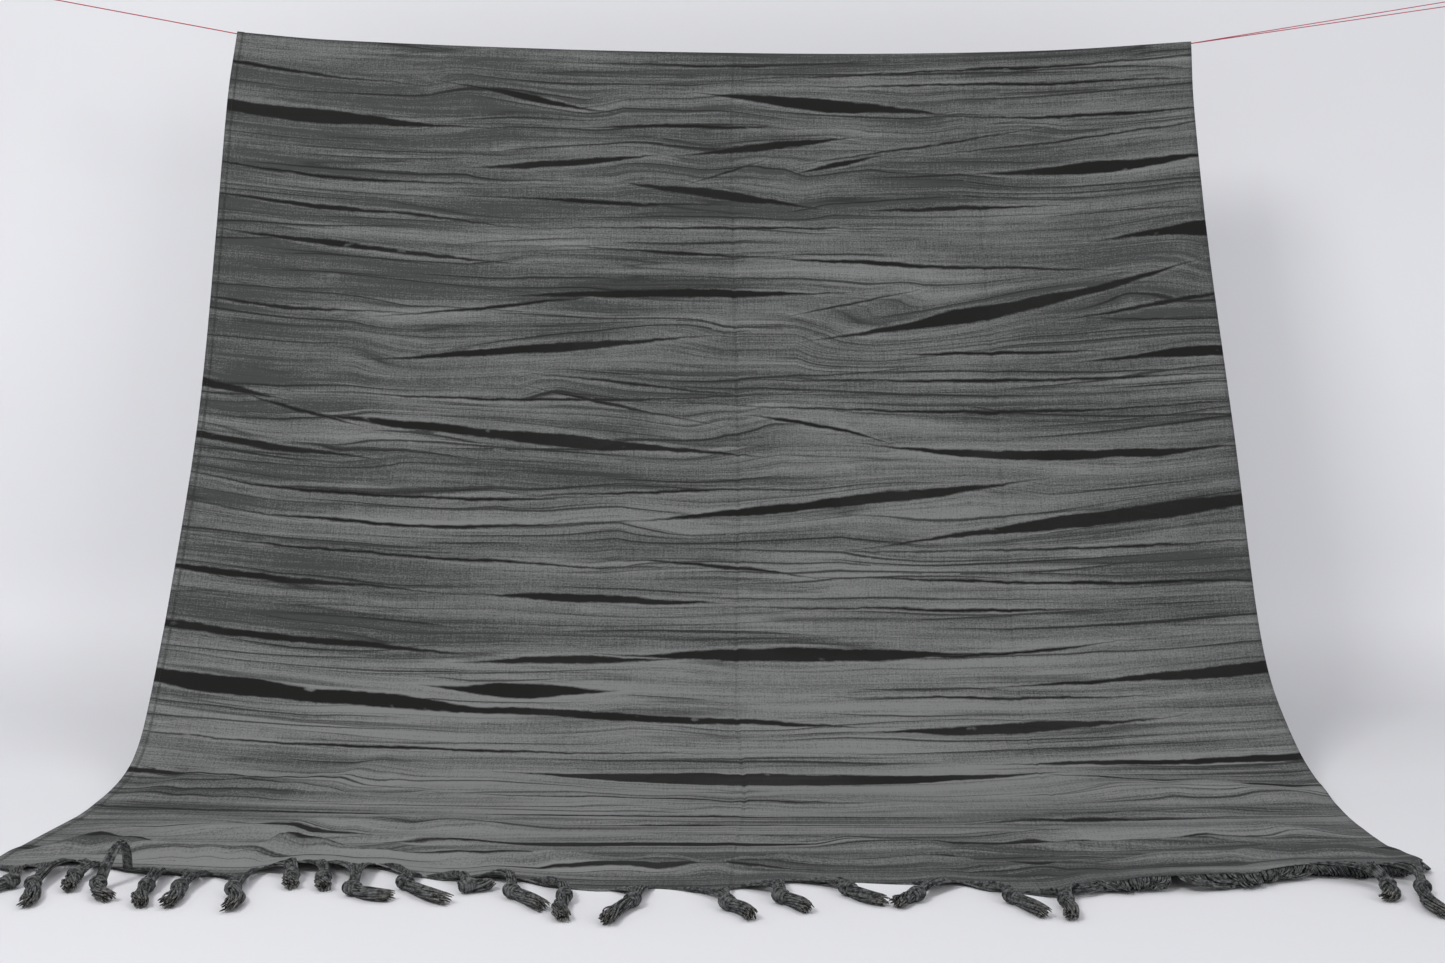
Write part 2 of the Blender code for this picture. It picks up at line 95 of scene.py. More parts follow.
# Top of the fold over the line: place across, height of the cloth's upper face
CROWN_HEIGHTS = (
    (-1.10, 1.589),
    (-0.89, 1.571),
    (-0.38, 1.550),
    (0.00, 1.5415),
    (0.38, 1.539),
    (0.78, 1.547),
    (1.10, 1.567),
)

# Side view of the front: distance along the cloth above where it meets the floor, slope in degrees
HANG_SLOPES = (
    (0.00, 0.0),
    (0.08, 5.5),
    (0.16, 10.0),
    (0.24, 20.0),
    (0.30, 33.0),
    (0.36, 41.0),
    (0.44, 47.0),
    (0.52, 55.0),
    (0.62, 61.5),
    (0.80, 64.5),
    (1.05, 67.0),
    (1.30, 69.0),
    (1.60, 71.5),
    (2.20, 72.0),
)
CURVE_STEP = 0.004

# Sideways drift of the whole width: share of the front from the line to the hem, shift
SIDEWAYS_DRIFT = (
    (0.00, 0.000),
    (0.07, -0.007),
    (0.22, -0.003),
    (0.42, 0.006),
    (0.65, 0.000),
    (0.76, 0.013),
    (0.83, 0.007),
    (0.90, -0.005),
    (1.00, -0.016),
)

# Front hem: place across, place forward of the middle, lift off the floor
FRONT_HEM = (
    (-1.10, -0.500, 0.003),
    (-1.04, -0.506, 0.004),
    (-0.98, -0.482, 0.008),
    (-0.88, -0.515, 0.006),
    (-0.80, -0.535, 0.004),
    (-0.70, -0.540, 0.002),
    (-0.64, -0.506, 0.010),
    (-0.59, -0.520, 0.017),
    (-0.53, -0.506, 0.010),
    (-0.48, -0.518, 0.009),
    (-0.42, -0.548, 0.002),
    (-0.36, -0.560, 0.002),
    (-0.31, -0.560, 0.008),
    (-0.26, -0.576, 0.005),
    (-0.15, -0.618, 0.000),
    (-0.08, -0.602, 0.000),
    (0.02, -0.620, 0.001),
    (0.11, -0.588, 0.006),
    (0.20, -0.572, 0.000),
    (0.30, -0.584, 0.000),
    (0.37, -0.582, 0.005),
    (0.43, -0.615, 0.002),
    (0.51, -0.640, 0.002),
    (0.57, -0.620, 0.014),
    (0.66, -0.618, 0.022),
    (0.80, -0.596, 0.022),
    (0.92, -0.556, 0.023),
    (1.02, -0.560, 0.023),
    (1.10, -0.520, 0.017),
)
HEM_LIFT_RUN = 0.15
HEM_SCALLOP = 0.010
HEM_SCALLOP_REACH = 0.024

# Soft folds: across and distance from the front hem at both ends, height, half width
SOFT_FOLDS = (
    (-1.12, 0.08, -0.52, 0.095, 0.024, 0.042),
    (-0.62, 0.12, 0.22, 0.10, 0.013, 0.042),
    (0.24, 0.11, 0.66, 0.12, 0.011, 0.040),
    (0.58, 0.13, 1.13, 0.10, 0.020, 0.048),
    (-0.98, 0.24, -0.24, 0.31, 0.013, 0.055),
    (0.17, 0.21, 0.42, 0.20, 0.010, 0.036),
    (0.40, 0.33, 1.12, 0.25, 0.014, 0.055),
    (-1.10, 0.42, -0.52, 0.56, 0.014, 0.060),
    (0.60, 0.58, 1.14, 0.44, 0.016, 0.055),
    (-0.40, 0.50, 0.45, 0.47, 0.007, 0.060),
    (0.05, 2.20, 0.02, 0.05, -0.003, 0.030),
    (0.60, 1.95, 0.58, 0.45, -0.003, 0.032),
    (1.12, 2.15, 1.12, 0.50, -0.009, 0.075),
    (-0.85, 1.90, -0.72, 0.60, 0.006, 0.130),
    (0.28, 1.80, 0.34, 0.60, 0.006, 0.140),
)

# Small creases: across and distance down from the line at both ends, height, half width
SMALL_CREASES = (
    (0.046, 0.03, 0.046, 2.30, -0.0030, 0.0085),
    (0.600, 0.03, 0.600, 2.26, -0.0022, 0.0080),
    (-0.500, 0.05, -0.500, 2.22, -0.0009, 0.0075),
    (-1.02, 1.92, -0.60, 2.03, 0.0030, 0.016),
    (-0.82, 1.98, -0.40, 2.12, 0.0035, 0.014),
    (-0.70, 1.72, -0.44, 1.84, 0.0035, 0.018),
    (0.52, 1.71, 0.98, 1.80, 0.0040, 0.018),
    (0.60, 1.84, 0.96, 1.93, 0.0030, 0.014),
    (0.10, 2.08, 0.50, 2.10, 0.0025, 0.012),
    (0.36, 2.16, 0.70, 2.20, 0.0030, 0.013),
    (-0.30, 2.19, 0.05, 2.17, 0.0025, 0.012),
    (0.62, 2.05, 1.05, 2.02, 0.0030, 0.015),
    (-0.98, 1.86, -0.84, 1.80, 0.0022, 0.011),
    (0.92, 0.10, 0.96, 0.24, -0.0010, 0.006),
    (-1.06, 2.15, -0.36, 2.215, 0.0105, 0.020),
    (-0.46, 2.230, 0.34, 2.205, 0.0090, 0.018),
    (0.26, 2.17, 0.98, 2.085, 0.0110, 0.021),
    (-0.92, 2.05, -0.26, 2.12, 0.0090, 0.022),
    (0.40, 1.97, 1.02, 1.89, 0.0085, 0.022),
    (-0.24, 2.06, 0.38, 2.08, 0.0070, 0.020),
    (-0.98, 1.78, -0.52, 1.86, 0.0070, 0.022),
    (-0.60, 1.93, 0.05, 1.98, 0.0055, 0.020),
)
RELIEF_START = 0.02
FOLD_END_SHARE = 0.25

# Unevenness of the cloth: size, and its waves' strength, scale across and down, and place
UNEVENNESS = 0.0010
UNEVEN_WAVES = (
    (1.0, 2.2, 11.0, 3.7),
    (0.5, 7.0, 26.0, 9.1),
)
UNEVEN_UPPER = 0.6
UNEVEN_LOWER_GAIN = 0.9
UNEVEN_LOWER_FROM = 1.5
UNEVEN_LOWER_RUN = 0.4

# Lines where the throw was pressed flat: places across, painted shade that each adds along its crease,
# places of their columns
PRESS_CREASES = (-0.500, 0.046, 0.600)
PRESS_CREASE_PAINTED_SHADES = (-0.05, -0.14, -0.09)
PRESS_CREASE_STEPS = (-0.0075, -0.0036, 0.0, 0.0036, 0.0075)
PRESS_CREASE_CLEARANCE = 0.011

# Pleats of the dye: ranges of the thin lines that they leave
PLEAT_COUNT = 210
PLEAT_SEED = 11
PLEAT_OVERRUN = 0.05
PLEAT_MIDDLES = (-1.15, 1.15)
PLEAT_HALF_LENGTHS = (0.12, 0.62)
PLEAT_TILT = 0.026
PLEAT_BOW = 0.009
PLEAT_HALF_WIDTHS = (0.0008, 0.0024)

# Dye streaks, some near the front hem partly painted shade of its folds: across and distance down from
# the line at both ends, bow, half width
DYE_STREAKS_AND_FOLD_SHADES = (
    (-1.40, 0.06, -0.62, 0.11, 0.000, 0.004),
    (-1.55, 0.17, -0.46, 0.21, 0.005, 0.014),
    (-0.64, 0.09, -0.20, 0.165, 0.000, 0.007),
    (-0.32, 0.20, 0.20, 0.195, -0.006, 0.006),
    (-0.05, 0.105, 0.56, 0.16, 0.000, 0.013),
    (-0.40, 0.03, 0.40, 0.02, 0.010, 0.003),
    (-0.10, 0.08, 1.30, 0.035, -0.010, 0.004),
    (0.05, 0.09, 1.30, 0.10, -0.010, 0.004),
    (0.45, 0.155, 1.25, 0.165, 0.015, 0.004),
    (-0.55, 0.31, -0.10, 0.265, 0.004, 0.009),
    (-0.10, 0.27, 0.36, 0.21, 0.000, 0.008),
    (-0.06, 0.34, 0.13, 0.27, 0.000, 0.003),
    (-0.22, 0.335, 0.26, 0.40, -0.005, 0.010),
    (0.17, 0.31, 0.40, 0.26, 0.000, 0.006),
    (0.16, 0.29, 0.80, 0.19, 0.000, 0.003),
    (0.40, 0.27, 1.30, 0.19, 0.000, 0.003),
    (0.56, 0.31, 1.22, 0.28, 0.008, 0.012),
    (0.30, 0.40, 0.80, 0.395, -0.004, 0.007),
    (0.84, 0.485, 1.45, 0.465, -0.010, 0.014),
    (-1.30, 0.31, -0.40, 0.345, 0.020, 0.004),
    (-1.30, 0.41, -0.35, 0.46, -0.012, 0.005),
    (-0.60, 0.38, 0.10, 0.39, 0.000, 0.004),
    (-0.50, 0.46, 0.60, 0.45, -0.012, 0.003),
    (-1.15, 0.49, -0.40, 0.545, 0.000, 0.007),
    (-0.35, 0.495, 0.20, 0.515, 0.000, 0.004),
    (0.02, 0.51, 0.95, 0.56, 0.000, 0.005),
    (-0.78, 0.69, -0.22, 0.61, 0.000, 0.004),
    (-0.48, 0.62, 0.34, 0.60, -0.004, 0.010),
    (0.18, 0.72, 1.08, 0.545, 0.010, 0.017),
    (0.15, 0.66, 0.46, 0.59, 0.000, 0.003),
    (-0.78, 0.79, 0.02, 0.70, 0.000, 0.010),
    (-1.30, 0.65, -0.60, 0.67, 0.010, 0.004),
    (0.70, 0.68, 1.35, 0.60, 0.000, 0.004),
    (0.78, 0.665, 1.35, 0.69, 0.010, 0.003),
    (0.78, 0.775, 1.35, 0.78, -0.012, 0.010),
    (0.30, 0.75, 0.90, 0.75, -0.005, 0.004),
    (-1.40, 0.83, -0.90, 0.89, 0.000, 0.011),
    (-1.02, 0.88, -0.74, 0.945, 0.000, 0.005),
    (-0.92, 0.915, 0.14, 0.99, 0.000, 0.013),
    (-0.95, 0.865, 0.30, 0.83, 0.015, 0.003),
    (0.06, 0.89, 0.38, 0.96, -0.010, 0.005),
    (0.28, 0.955, 1.18, 0.985, 0.018, 0.011),
    (-0.42, 0.80, 0.10, 0.85, 0.000, 0.004),
    (-0.42, 0.83, 0.02, 0.92, 0.000, 0.004),
    (-0.05, 0.805, 1.30, 0.82, 0.000, 0.004),
    (-0.10, 0.86, 1.25, 0.88, 0.015, 0.004),
    (-1.40, 0.96, -0.66, 1.02, 0.000, 0.008),
    (-1.20, 1.06, -0.15, 1.075, 0.030, 0.005),
    (-1.15, 1.13, -0.05, 1.12, 0.035, 0.004),
    (-0.20, 1.14, 0.70, 1.04, 0.000, 0.012),
    (-0.45, 1.09, 0.16, 1.05, 0.000, 0.004),
    (0.26, 1.20, 1.60, 1.09, -0.024, 0.014),
    (0.10, 1.20, 1.30, 1.20, 0.000, 0.003),
    (-1.20, 1.20, 0.00, 1.24, 0.010, 0.004),
    (-0.25, 1.225, 0.24, 1.26, -0.010, 0.004),
    (0.15, 1.25, 1.35, 1.30, 0.000, 0.005),
    (-1.40, 1.27, -0.46, 1.31, 0.000, 0.006),
    (-0.52, 1.305, 0.04, 1.315, 0.000, 0.009),
    (0.00, 1.32, 0.88, 1.335, 0.000, 0.004),
    (-1.55, 1.38, -0.42, 1.44, 0.000, 0.010),
    (-0.52, 1.455, -0.05, 1.435, 0.000, 0.009),
    (-0.24, 1.43, 0.58, 1.425, 0.000, 0.013),
    (0.34, 1.43, 0.82, 1.40, 0.010, 0.005),
    (-1.85, 1.48, -0.16, 1.585, -0.006, 0.018),
    (-0.58, 1.51, -0.18, 1.512, 0.005, 0.013),
    (-0.66, 1.55, 0.34, 1.59, 0.004, 0.010),
    (0.26, 1.60, 0.92, 1.575, 0.010, 0.010),
    (0.20, 1.52, 0.90, 1.53, 0.000, 0.004),
    (0.50, 1.50, 1.65, 1.46, 0.000, 0.011),
    (-1.30, 1.64, 0.10, 1.66, 0.012, 0.004),
    (-1.50, 1.74, -0.50, 1.80, -0.012, 0.008),
    (-0.48, 1.81, 0.34, 1.86, 0.012, 0.006),
    (-0.42, 1.725, 0.66, 1.72, 0.024, 0.021),
    (0.48, 1.69, 1.55, 1.70, 0.000, 0.010),
    (0.56, 1.72, 1.35, 1.82, 0.012, 0.007),
    (-0.70, 1.92, 0.60, 1.93, 0.000, 0.004),
    (-1.30, 1.90, -0.30, 1.94, -0.010, 0.005),
    (-0.40, 1.99, 0.46, 1.975, 0.000, 0.005),
    (0.34, 1.98, 1.00, 1.95, -0.012, 0.005),
    # The next nine rows, by the front hem, are dye streaks and painted shade together: they darken the
    # valleys between the folds there and the strip under the raised hem
    (-1.10, 2.01, -0.28, 2.11, -0.020, 0.006),
    (-0.60, 2.11, 0.32, 2.10, 0.000, 0.011),
    (0.14, 2.09, 0.88, 2.11, 0.000, 0.009),
    (-1.60, 2.14, -0.40, 2.20, 0.000, 0.009),
    (-0.66, 2.200, 0.64, 2.180, 0.010, 0.0070),
    (-0.48, 2.258, 0.34, 2.246, 0.004, 0.0060),
    (0.52, 2.140, 1.04, 2.060, -0.006, 0.0060),
    (0.26, 2.20, 0.80, 2.215, 0.010, 0.010),
    (0.60, 2.20, 1.60, 2.14, 0.000, 0.020),
    (-0.80, -0.12, 0.10, -0.10, 0.000, 0.012),
    (0.20, -0.20, 0.92, -0.16, 0.000, 0.013),
    (-1.40, -0.23, -0.50, -0.26, 0.000, 0.010),
    (0.30, -0.07, 1.35, -0.08, 0.000, 0.007),
)

# Half width along a streak: its least share, what its middle adds, and how it falls past the ends
STREAK_FULLNESS = (0.35, 0.90)
PAST_END_FALL = 0.02
PAST_END_LIMIT = -0.05
OUTSIDE = -9.0

# How the fine grain bends beside a streak: its reach, its strength by the streak's half width, how it
# fades past the ends and turns over at the middle, and how much of the streak's tilt it takes
BEND_REACH = 0.022
BEND_REACH_PER_WIDTH = 2.2
BEND_LEAST = 0.4
BEND_FULL_WIDTH = 0.01
BEND_PAST_END = 0.10
BEND_MIDDLE = 0.003
BEND_TILT = 1.6

# Noise in the cloth: UV map, scale across and down, detail, roughness, place
CLOTH_NOISES = {
    "sway": ("cloth", 5.0, 9.0, 3.0, 0.6, (4.0, 2.0)),
    "ragged": ("cloth", 42.0, 110.0, 2.0, 0.6, (1.0, 7.0)),
    "swell": ("cloth", 4.0, 9.0, 1.0, 0.5, (2.0, 8.0)),
    "bands": ("grain", 0.9, 14.0, 3.0, 0.55, (0.0, 0.0)),
    "soft": ("cloth", 2.6, 4.2, 3.0, 0.5, (9.0, 3.0)),
    "fine": ("grain", 2.2, 120.0, 2.0, 0.6, (0.0, 5.0)),
    "line_here": ("grain", 1.7, 9.0, 2.0, 0.5, (6.0, 6.0)),
    "line": ("grain", 0.7, 25.0, 1.5, 0.5, (3.0, 1.0)),
    "hair": ("grain", 1.0, 58.0, 1.5, 0.5, (8.0, 2.0)),
    "patches": ("grain", 5.0, 26.0, 3.0, 0.65, (2.0, 9.0)),
    "speckle": ("cloth", 250.0, 300.0, 2.0, 0.6, (7.0, 7.0)),
    "warp": ("cloth", 480.0, 26.0, 1.0, 0.5, (0.0, 0.0)),
    "weft": ("cloth", 26.0, 480.0, 1.0, 0.5, (0.0, 3.0)),
    "ties": ("cloth", 17.0, 24.0, 2.0, 0.5, (5.0, 5.0)),
}

# How far the noise moves the lines, and the edges of streaks, halos and pleats, in metres
STREAK_SWAY = 0.018
STREAK_RAGGEDNESS = 0.006
PLEAT_SWAY_SHARE = 0.35
STREAK_EDGE = (-0.0022, 0.0034)
HALO_EDGE = (-0.010, -0.0025)
PLEAT_EDGE = (-0.0012, 0.0010)
PLEAT_FADE = 0.0085
HEM_END_ACROSS = -1.0865

# Tassels: root across, width of the fan at the hem, knot across and forward, tip across and forward,
# sideways bend of the brush, rise of the neck between hem and knot
TASSELS = (
    (-1.060, 0.044, -1.026, -0.605, -1.072, -0.690, 0.006, 0.004),
    (-1.000, 0.046, -0.988, -0.615, -0.962, -0.708, -0.006, 0.006),
    (-0.935, 0.030, -0.945, -0.570, -0.930, -0.632, 0.002, 0.004),
    (-0.868, 0.030, -0.893, -0.615, -0.853, -0.676, 0.006, 0.046),
    (-0.825, 0.034, -0.818, -0.626, -0.797, -0.708, 0.004, 0.006),
    (-0.765, 0.044, -0.768, -0.632, -0.765, -0.710, -0.005, 0.006),
    (-0.700, 0.052, -0.688, -0.640, -0.672, -0.726, -0.010, 0.002),
    (-0.645, 0.034, -0.622, -0.572, -0.610, -0.616, 0.002, 0.008),
    (-0.592, 0.026, -0.572, -0.584, -0.560, -0.625, 0.002, 0.004),
    (-0.536, 0.052, -0.516, -0.640, -0.452, -0.668, 0.006, 0.006),
    (-0.455, 0.048, -0.446, -0.610, -0.366, -0.690, 0.004, 0.004),
    (-0.380, 0.040, -0.352, -0.626, -0.318, -0.603, 0.004, 0.008),
    (-0.305, 0.034, -0.284, -0.652, -0.230, -0.722, -0.004, 0.010),
    (-0.225, 0.034, -0.206, -0.674, -0.198, -0.766, 0.006, 0.006),
    (-0.100, 0.044, -0.108, -0.694, -0.142, -0.7825, 0.004, 0.004),
    (0.004, 0.060, 0.026, -0.706, 0.058, -0.762, -0.008, 0.003),
    (0.092, 0.044, 0.102, -0.676, 0.138, -0.730, -0.006, 0.006),
    (0.176, 0.052, 0.200, -0.640, 0.252, -0.694, 0.004, 0.003),
    (0.352, 0.050, 0.296, -0.668, 0.262, -0.706, 0.004, 0.006),
    (0.418, 0.036, 0.430, -0.676, 0.464, -0.752, -0.004, 0.004),
    (0.514, 0.052, 0.504, -0.692, 0.494, -0.766, -0.004, 0.004),
    (0.610, 0.040, 0.620, -0.597, 0.627, -0.560, 0.001, 0.000),
    (0.812, 0.056, 0.820, -0.571, 0.828, -0.533, 0.001, 0.000),
    (0.960, 0.040, 0.988, -0.622, 0.962, -0.676, -0.008, 0.006),
    (1.056, 0.034, 1.034, -0.632, 1.014, -0.760, 0.008, 0.006),
)
TASSEL_KNOT_SIZE = (0.0140, 0.0130, 0.0115)
TUCKED_KNOT_HEIGHT = 0.0072
KNOT_CORE_SHARES = (0.84, 0.74, 0.74)
TUCKED_FAN_REACH = 0.012
LOCK_SIZE = 0.0098
TASSEL_SEED = 400
TASSEL_NAME = "tassel_%02d_yarns"
DOUBLES_DISTANCE = 0.00001

# Fans between hem and knot: number of yarns, widening at the hem
PLAIN_FAN = (34, 1.6)
TUCKED_FAN = (84, 4.0)
WIDE_FAN = (60, 2.6)
LOOPED_FAN = (34, 0.5)
WIDE_FAN_FROM = 0.90
LOOPED_RISE = 0.03
LOOPED_NECK_WIDTH = 0.012
NECK_SHARE = 0.46
NECK_WIDTH_SHARE = 0.16
NECK_LEAST_WIDTH = 0.010
NECK_LOFT = 0.0055
KNOT_LANE_WIDTH = 0.016
KNOT_LANE_DEPTH = 0.003
KNOT_LANE_RISE = 0.006
FAN_ROOT_SCATTER = 0.001
FAN_STEPS = 7
FAN_YARN_RADIUS = 0.0012
FAN_YARN_SPREAD = (0.8, 1.3)
HEM_END_INSET = 0.004

# Loose yarns under the lifted right corner
SKIRT_YARNS = 52
SKIRT_WIDTH = 0.098
SKIRT_STEPS = 6
SKIRT_TUCK = (0.008, 0.020)
SKIRT_END_HEIGHT = (0.0015, 0.0040)
SKIRT_BELLY = 0.010
SKIRT_RUFFLE = 0.007
SKIRT_RUFFLES = 110

# Brushes and the yarns wound round the knots
BRUSH_YARNS = 27
BRUSH_YARN_RADIUS = 0.0017
BRUSH_HALF_WIDTH = 0.0100
BRUSH_STEPS = 10
BRUSH_REACH = (0.84, 1.0)
BRUSH_WAVE = (0.0006, 0.0018)
BRUSH_TWIST = 1.5
BRUSH_FLARE = 0.46
GOLDEN_ANGLE = 2.399963
BRUSH_NECK = 0.62
BRUSH_BELLY = 0.38
BRUSH_THINNING = 0.12
BRUSH_WAVES = 7.5
WRAP_YARNS = 5
WRAP_YARN_RADIUS = 0.0023
WRAP_TURNS = 1.6
WRAP_STEPS = 18
WRAP_SLANT = 0.55
WRAP_RUN = 1.25
WRAP_BARREL = 1.12
WRAP_START = 0.5

# Seam of the side hem, and one stitch: share of its length, lift, share of its thickness
SEAM_INSET = 0.0105
STITCHES_START = 0.02
STITCH_PITCH = 0.006
STITCH_LENGTH = 0.0042
STITCH_RADIUS = 0.00045
STITCH_SHAPE = (
    (0.0, -0.0004, 0.6),
    (0.3, 0.0002, 1.0),
    (0.7, 0.0002, 1.0),
    (1.0, -0.0004, 0.6),
)

# Knot of the string: its turns, their steps, half their run, their half width and half height, and
# where the upper end of its loop lies beside its middle
KNOT_TURNS = 3
KNOT_STEPS = 36
KNOT_HALF_RUN = 0.0028
KNOT_TURN_WIDTH = 0.0029
KNOT_TURN_HEIGHT = 0.0028
KNOT_LOOP_END = Vector((0.004, 0, 0.0010))

# Short end of the string: places beside the knot's middle
KNOT_END = (
    (0.001, 0.0015, -0.001),
    (0.002, 0.0030, -0.003),
    (0.003, 0.0028, -0.0036),
)

# Twist of the string's plies along it and up it, and colours that a user would not change
PLY_TWIST_ALONG = 2600.0
PLY_TWIST_UP = 1500.0
CUT_END_COLOUR = (0.20, 0.185, 0.16)
DULL_ZINC = (0.34, 0.34, 0.35)
BRIGHT_ZINC = (0.52, 0.52, 0.54)

# Camera, set by where the photograph's lines meet
PHOTO_WIDTH = 1445
FOCAL_PIXELS = 1562
SENSOR_WIDTH = 36.0
CAMERA_PLACE = (0.019, -2.875, 0.6775)
CAMERA_DOWN_DEGREES = 2.0

# Stage: floor, and backdrop with its cove and its foot on the floor
FLOOR_HALF = 12.0
BACKDROP_Y = 1.25
BACKDROP_COVE = 0.35
BACKDROP_FOOT = 0.3
BACKDROP_TOP = 4.5
BACKDROP_HALF = 5.0
BACKDROP_LIFT = 0.0005
COVE_STEPS = 12

# Painted light on the wall: gain, heights over which it begins, and heights over which most of it fades
# again
WALL_LIGHT_GAIN = 1.13
WALL_BEGINS = (0.0, 0.20)
WALL_FADES = (0.9, 1.8)
WALL_FADED_SHARE = 0.8

# Light from all round
AIR_COLOUR = (0.93, 0.94, 1.0, 1.0)
AIR_STRENGTH = 0.47

# Soft lights: name, place, target, width and height, power
LIGHTS = (
    ("key", (-2.3, -3.0, 3.7), (0.0, 0.1, 0.6), (1.5, 1.2), 103),
    ("fill", (2.8, -3.6, 2.2), (0.2, 0.2, 0.5), (2.4, 2.4), 50),
    ("top", (0.0, 0.3, 4.0), (0.0, -0.4, 0.0), (3.0, 1.2), 16),
)


class ThrowSettings(bpy.types.PropertyGroup):
    """Sizes and colours of the throw that a user would change."""

    cloth_grey: FloatVectorProperty(
        name="Cloth grey", description="Dyed cotton between the streaks",
        subtype="COLOR", size=3, min=0, max=1, default=(0.058, 0.060, 0.058))
    pale_grey: FloatVectorProperty(
        name="Pale grey", description="Cotton that took the least dye",
        subtype="COLOR", size=3, min=0, max=1, default=(0.215, 0.218, 0.212))
    # The black also fills the painted shade of the folds by the front hem
    streak_black: FloatVectorProperty(
        name="Streak black", description="Deepest dye in the streaks",
        subtype="COLOR", size=3, min=0, max=1, default=(0.013, 0.013, 0.012))
    yarn_grey: FloatVectorProperty(
        name="Yarn grey", description="Tassel yarn",
        subtype="COLOR", size=3, min=0, max=1, default=(0.062, 0.064, 0.063))
    string_red: FloatVectorProperty(
        name="String red", description="Doubled string that the throw hangs over",
        subtype="COLOR", size=3, min=0, max=1, default=(0.62, 0.035, 0.075))
    floor_white: FloatVectorProperty(
        name="Floor white", description="Floor and backdrop",
        subtype="COLOR", size=3, min=0, max=1, default=(0.80, 0.80, 0.815))
    cloth_thickness: FloatProperty(
        name="Cloth thickness", description="Thickness of the woven cotton",
        subtype="DISTANCE", unit="LENGTH", default=CLOTH_THICKNESS, min=0.001, max=0.003)
    string_radius: FloatProperty(
        name="String radius", description="Half the thickness of the string",
        subtype="DISTANCE", unit="LENGTH", default=STRING_RADIUS, min=0.0005, max=0.002)
    brush_yarns: IntProperty(
        name="Brush yarns", description="Cut yarns in each tassel", default=BRUSH_YARNS, min=10, max=50)


def follow(rows, column, place):
    """Smooth value of one column at a place, the rows' first column being the place."""
    places = [row[0] for row in rows]
    values = [row[column] for row in rows]
    if place <= places[0]:
        return values[0]
    if place >= places[-1]:
        return values[-1]
    start = max(index for index, known in enumerate(places) if known <= place)

    def slope(index):
        low = max(index - 1, 0)
        high = min(index + 1, len(places) - 1)
        return (values[high] - values[low]) / (places[high] - places[low])

    span = places[start + 1] - places[start]
    share = (place - places[start]) / span
    square = share * share
    cube = square * share
    return (
        (2 * cube - 3 * square + 1) * values[start]
        + (cube - 2 * square + share) * span * slope(start)
        + (3 * square - 2 * cube) * values[start + 1]
        + (cube - square) * span * slope(start + 1)
    )


def ease(share):
    """Zero to one with level ends."""
    share = min(max(share, 0.0), 1.0)
    return share * share * (3 - 2 * share)


def line_height(across):
    """Height of the middle of the line, under the throw and out to the wall eyes."""
    half = CLOTH_WIDTH / 2
    inside = min(max(across, -half), half)
    height = follow(CROWN_HEIGHTS, 1, inside) - CLOTH_THICKNESS - FOLD_INNER_RADIUS
    if across < -half:
        height += LEFT_LINE_RISE * (-half - across)
    if across > half:
        height += RIGHT_LINE_RISE * (across - half)
    return height


def hanging_curve():
    """Distance along the cloth, run and height from where the front meets the floor, and slope."""
    along = np.arange(0.0, HANG_SLOPES[-1][0], CURVE_STEP)
    slopes = np.radians([follow(HANG_SLOPES, 1, float(place)) for place in along])
    run = np.concatenate([[0.0], np.cumsum(np.cos(slopes[:-1]) * CURVE_STEP)])
    height = np.concatenate([[0.0], np.cumsum(np.sin(slopes[:-1]) * CURVE_STEP)])
    return along, run, height, slopes


ALONG, RUN, HEIGHT, SLOPES = hanging_curve()
TOP_SLOPE = math.radians(HANG_SLOPES[-1][1])


def ridge_height(ridges, across, down):
    """How far soft ridges raise the cloth at one place."""
    total = 0.0
    for from_x, from_down, to_x, to_down, height, half_width in ridges:
        run_x = to_x - from_x
        run_down = to_down - from_down
        length = math.hypot(run_x, run_down)
        offset_x = across - from_x
        offset_down = down - from_down
        share = (offset_x * run_x + offset_down * run_down) / (length * length)
        side = abs(offset_x * run_down - offset_down * run_x) / length
        if 0 < share < 1 and side < half_width:
            ends = ease(share / FOLD_END_SHARE) * ease((1 - share) / FOLD_END_SHARE)
            total += height * ends * (1 + math.cos(math.pi * side / half_width)) / 2
    return total


def hem_scallop(across):
    """How far the tassels pull the hem's edge forward at one place."""
    pulls = [math.exp(-(((across - row[0]) / HEM_SCALLOP_REACH) ** 2)) for row in TASSELS]
    return HEM_SCALLOP * min(sum(pulls), 1.0)


def even_shares(steps):
    """Shares from just above zero to one."""
    return [index / steps for index in range(1, steps + 1)]


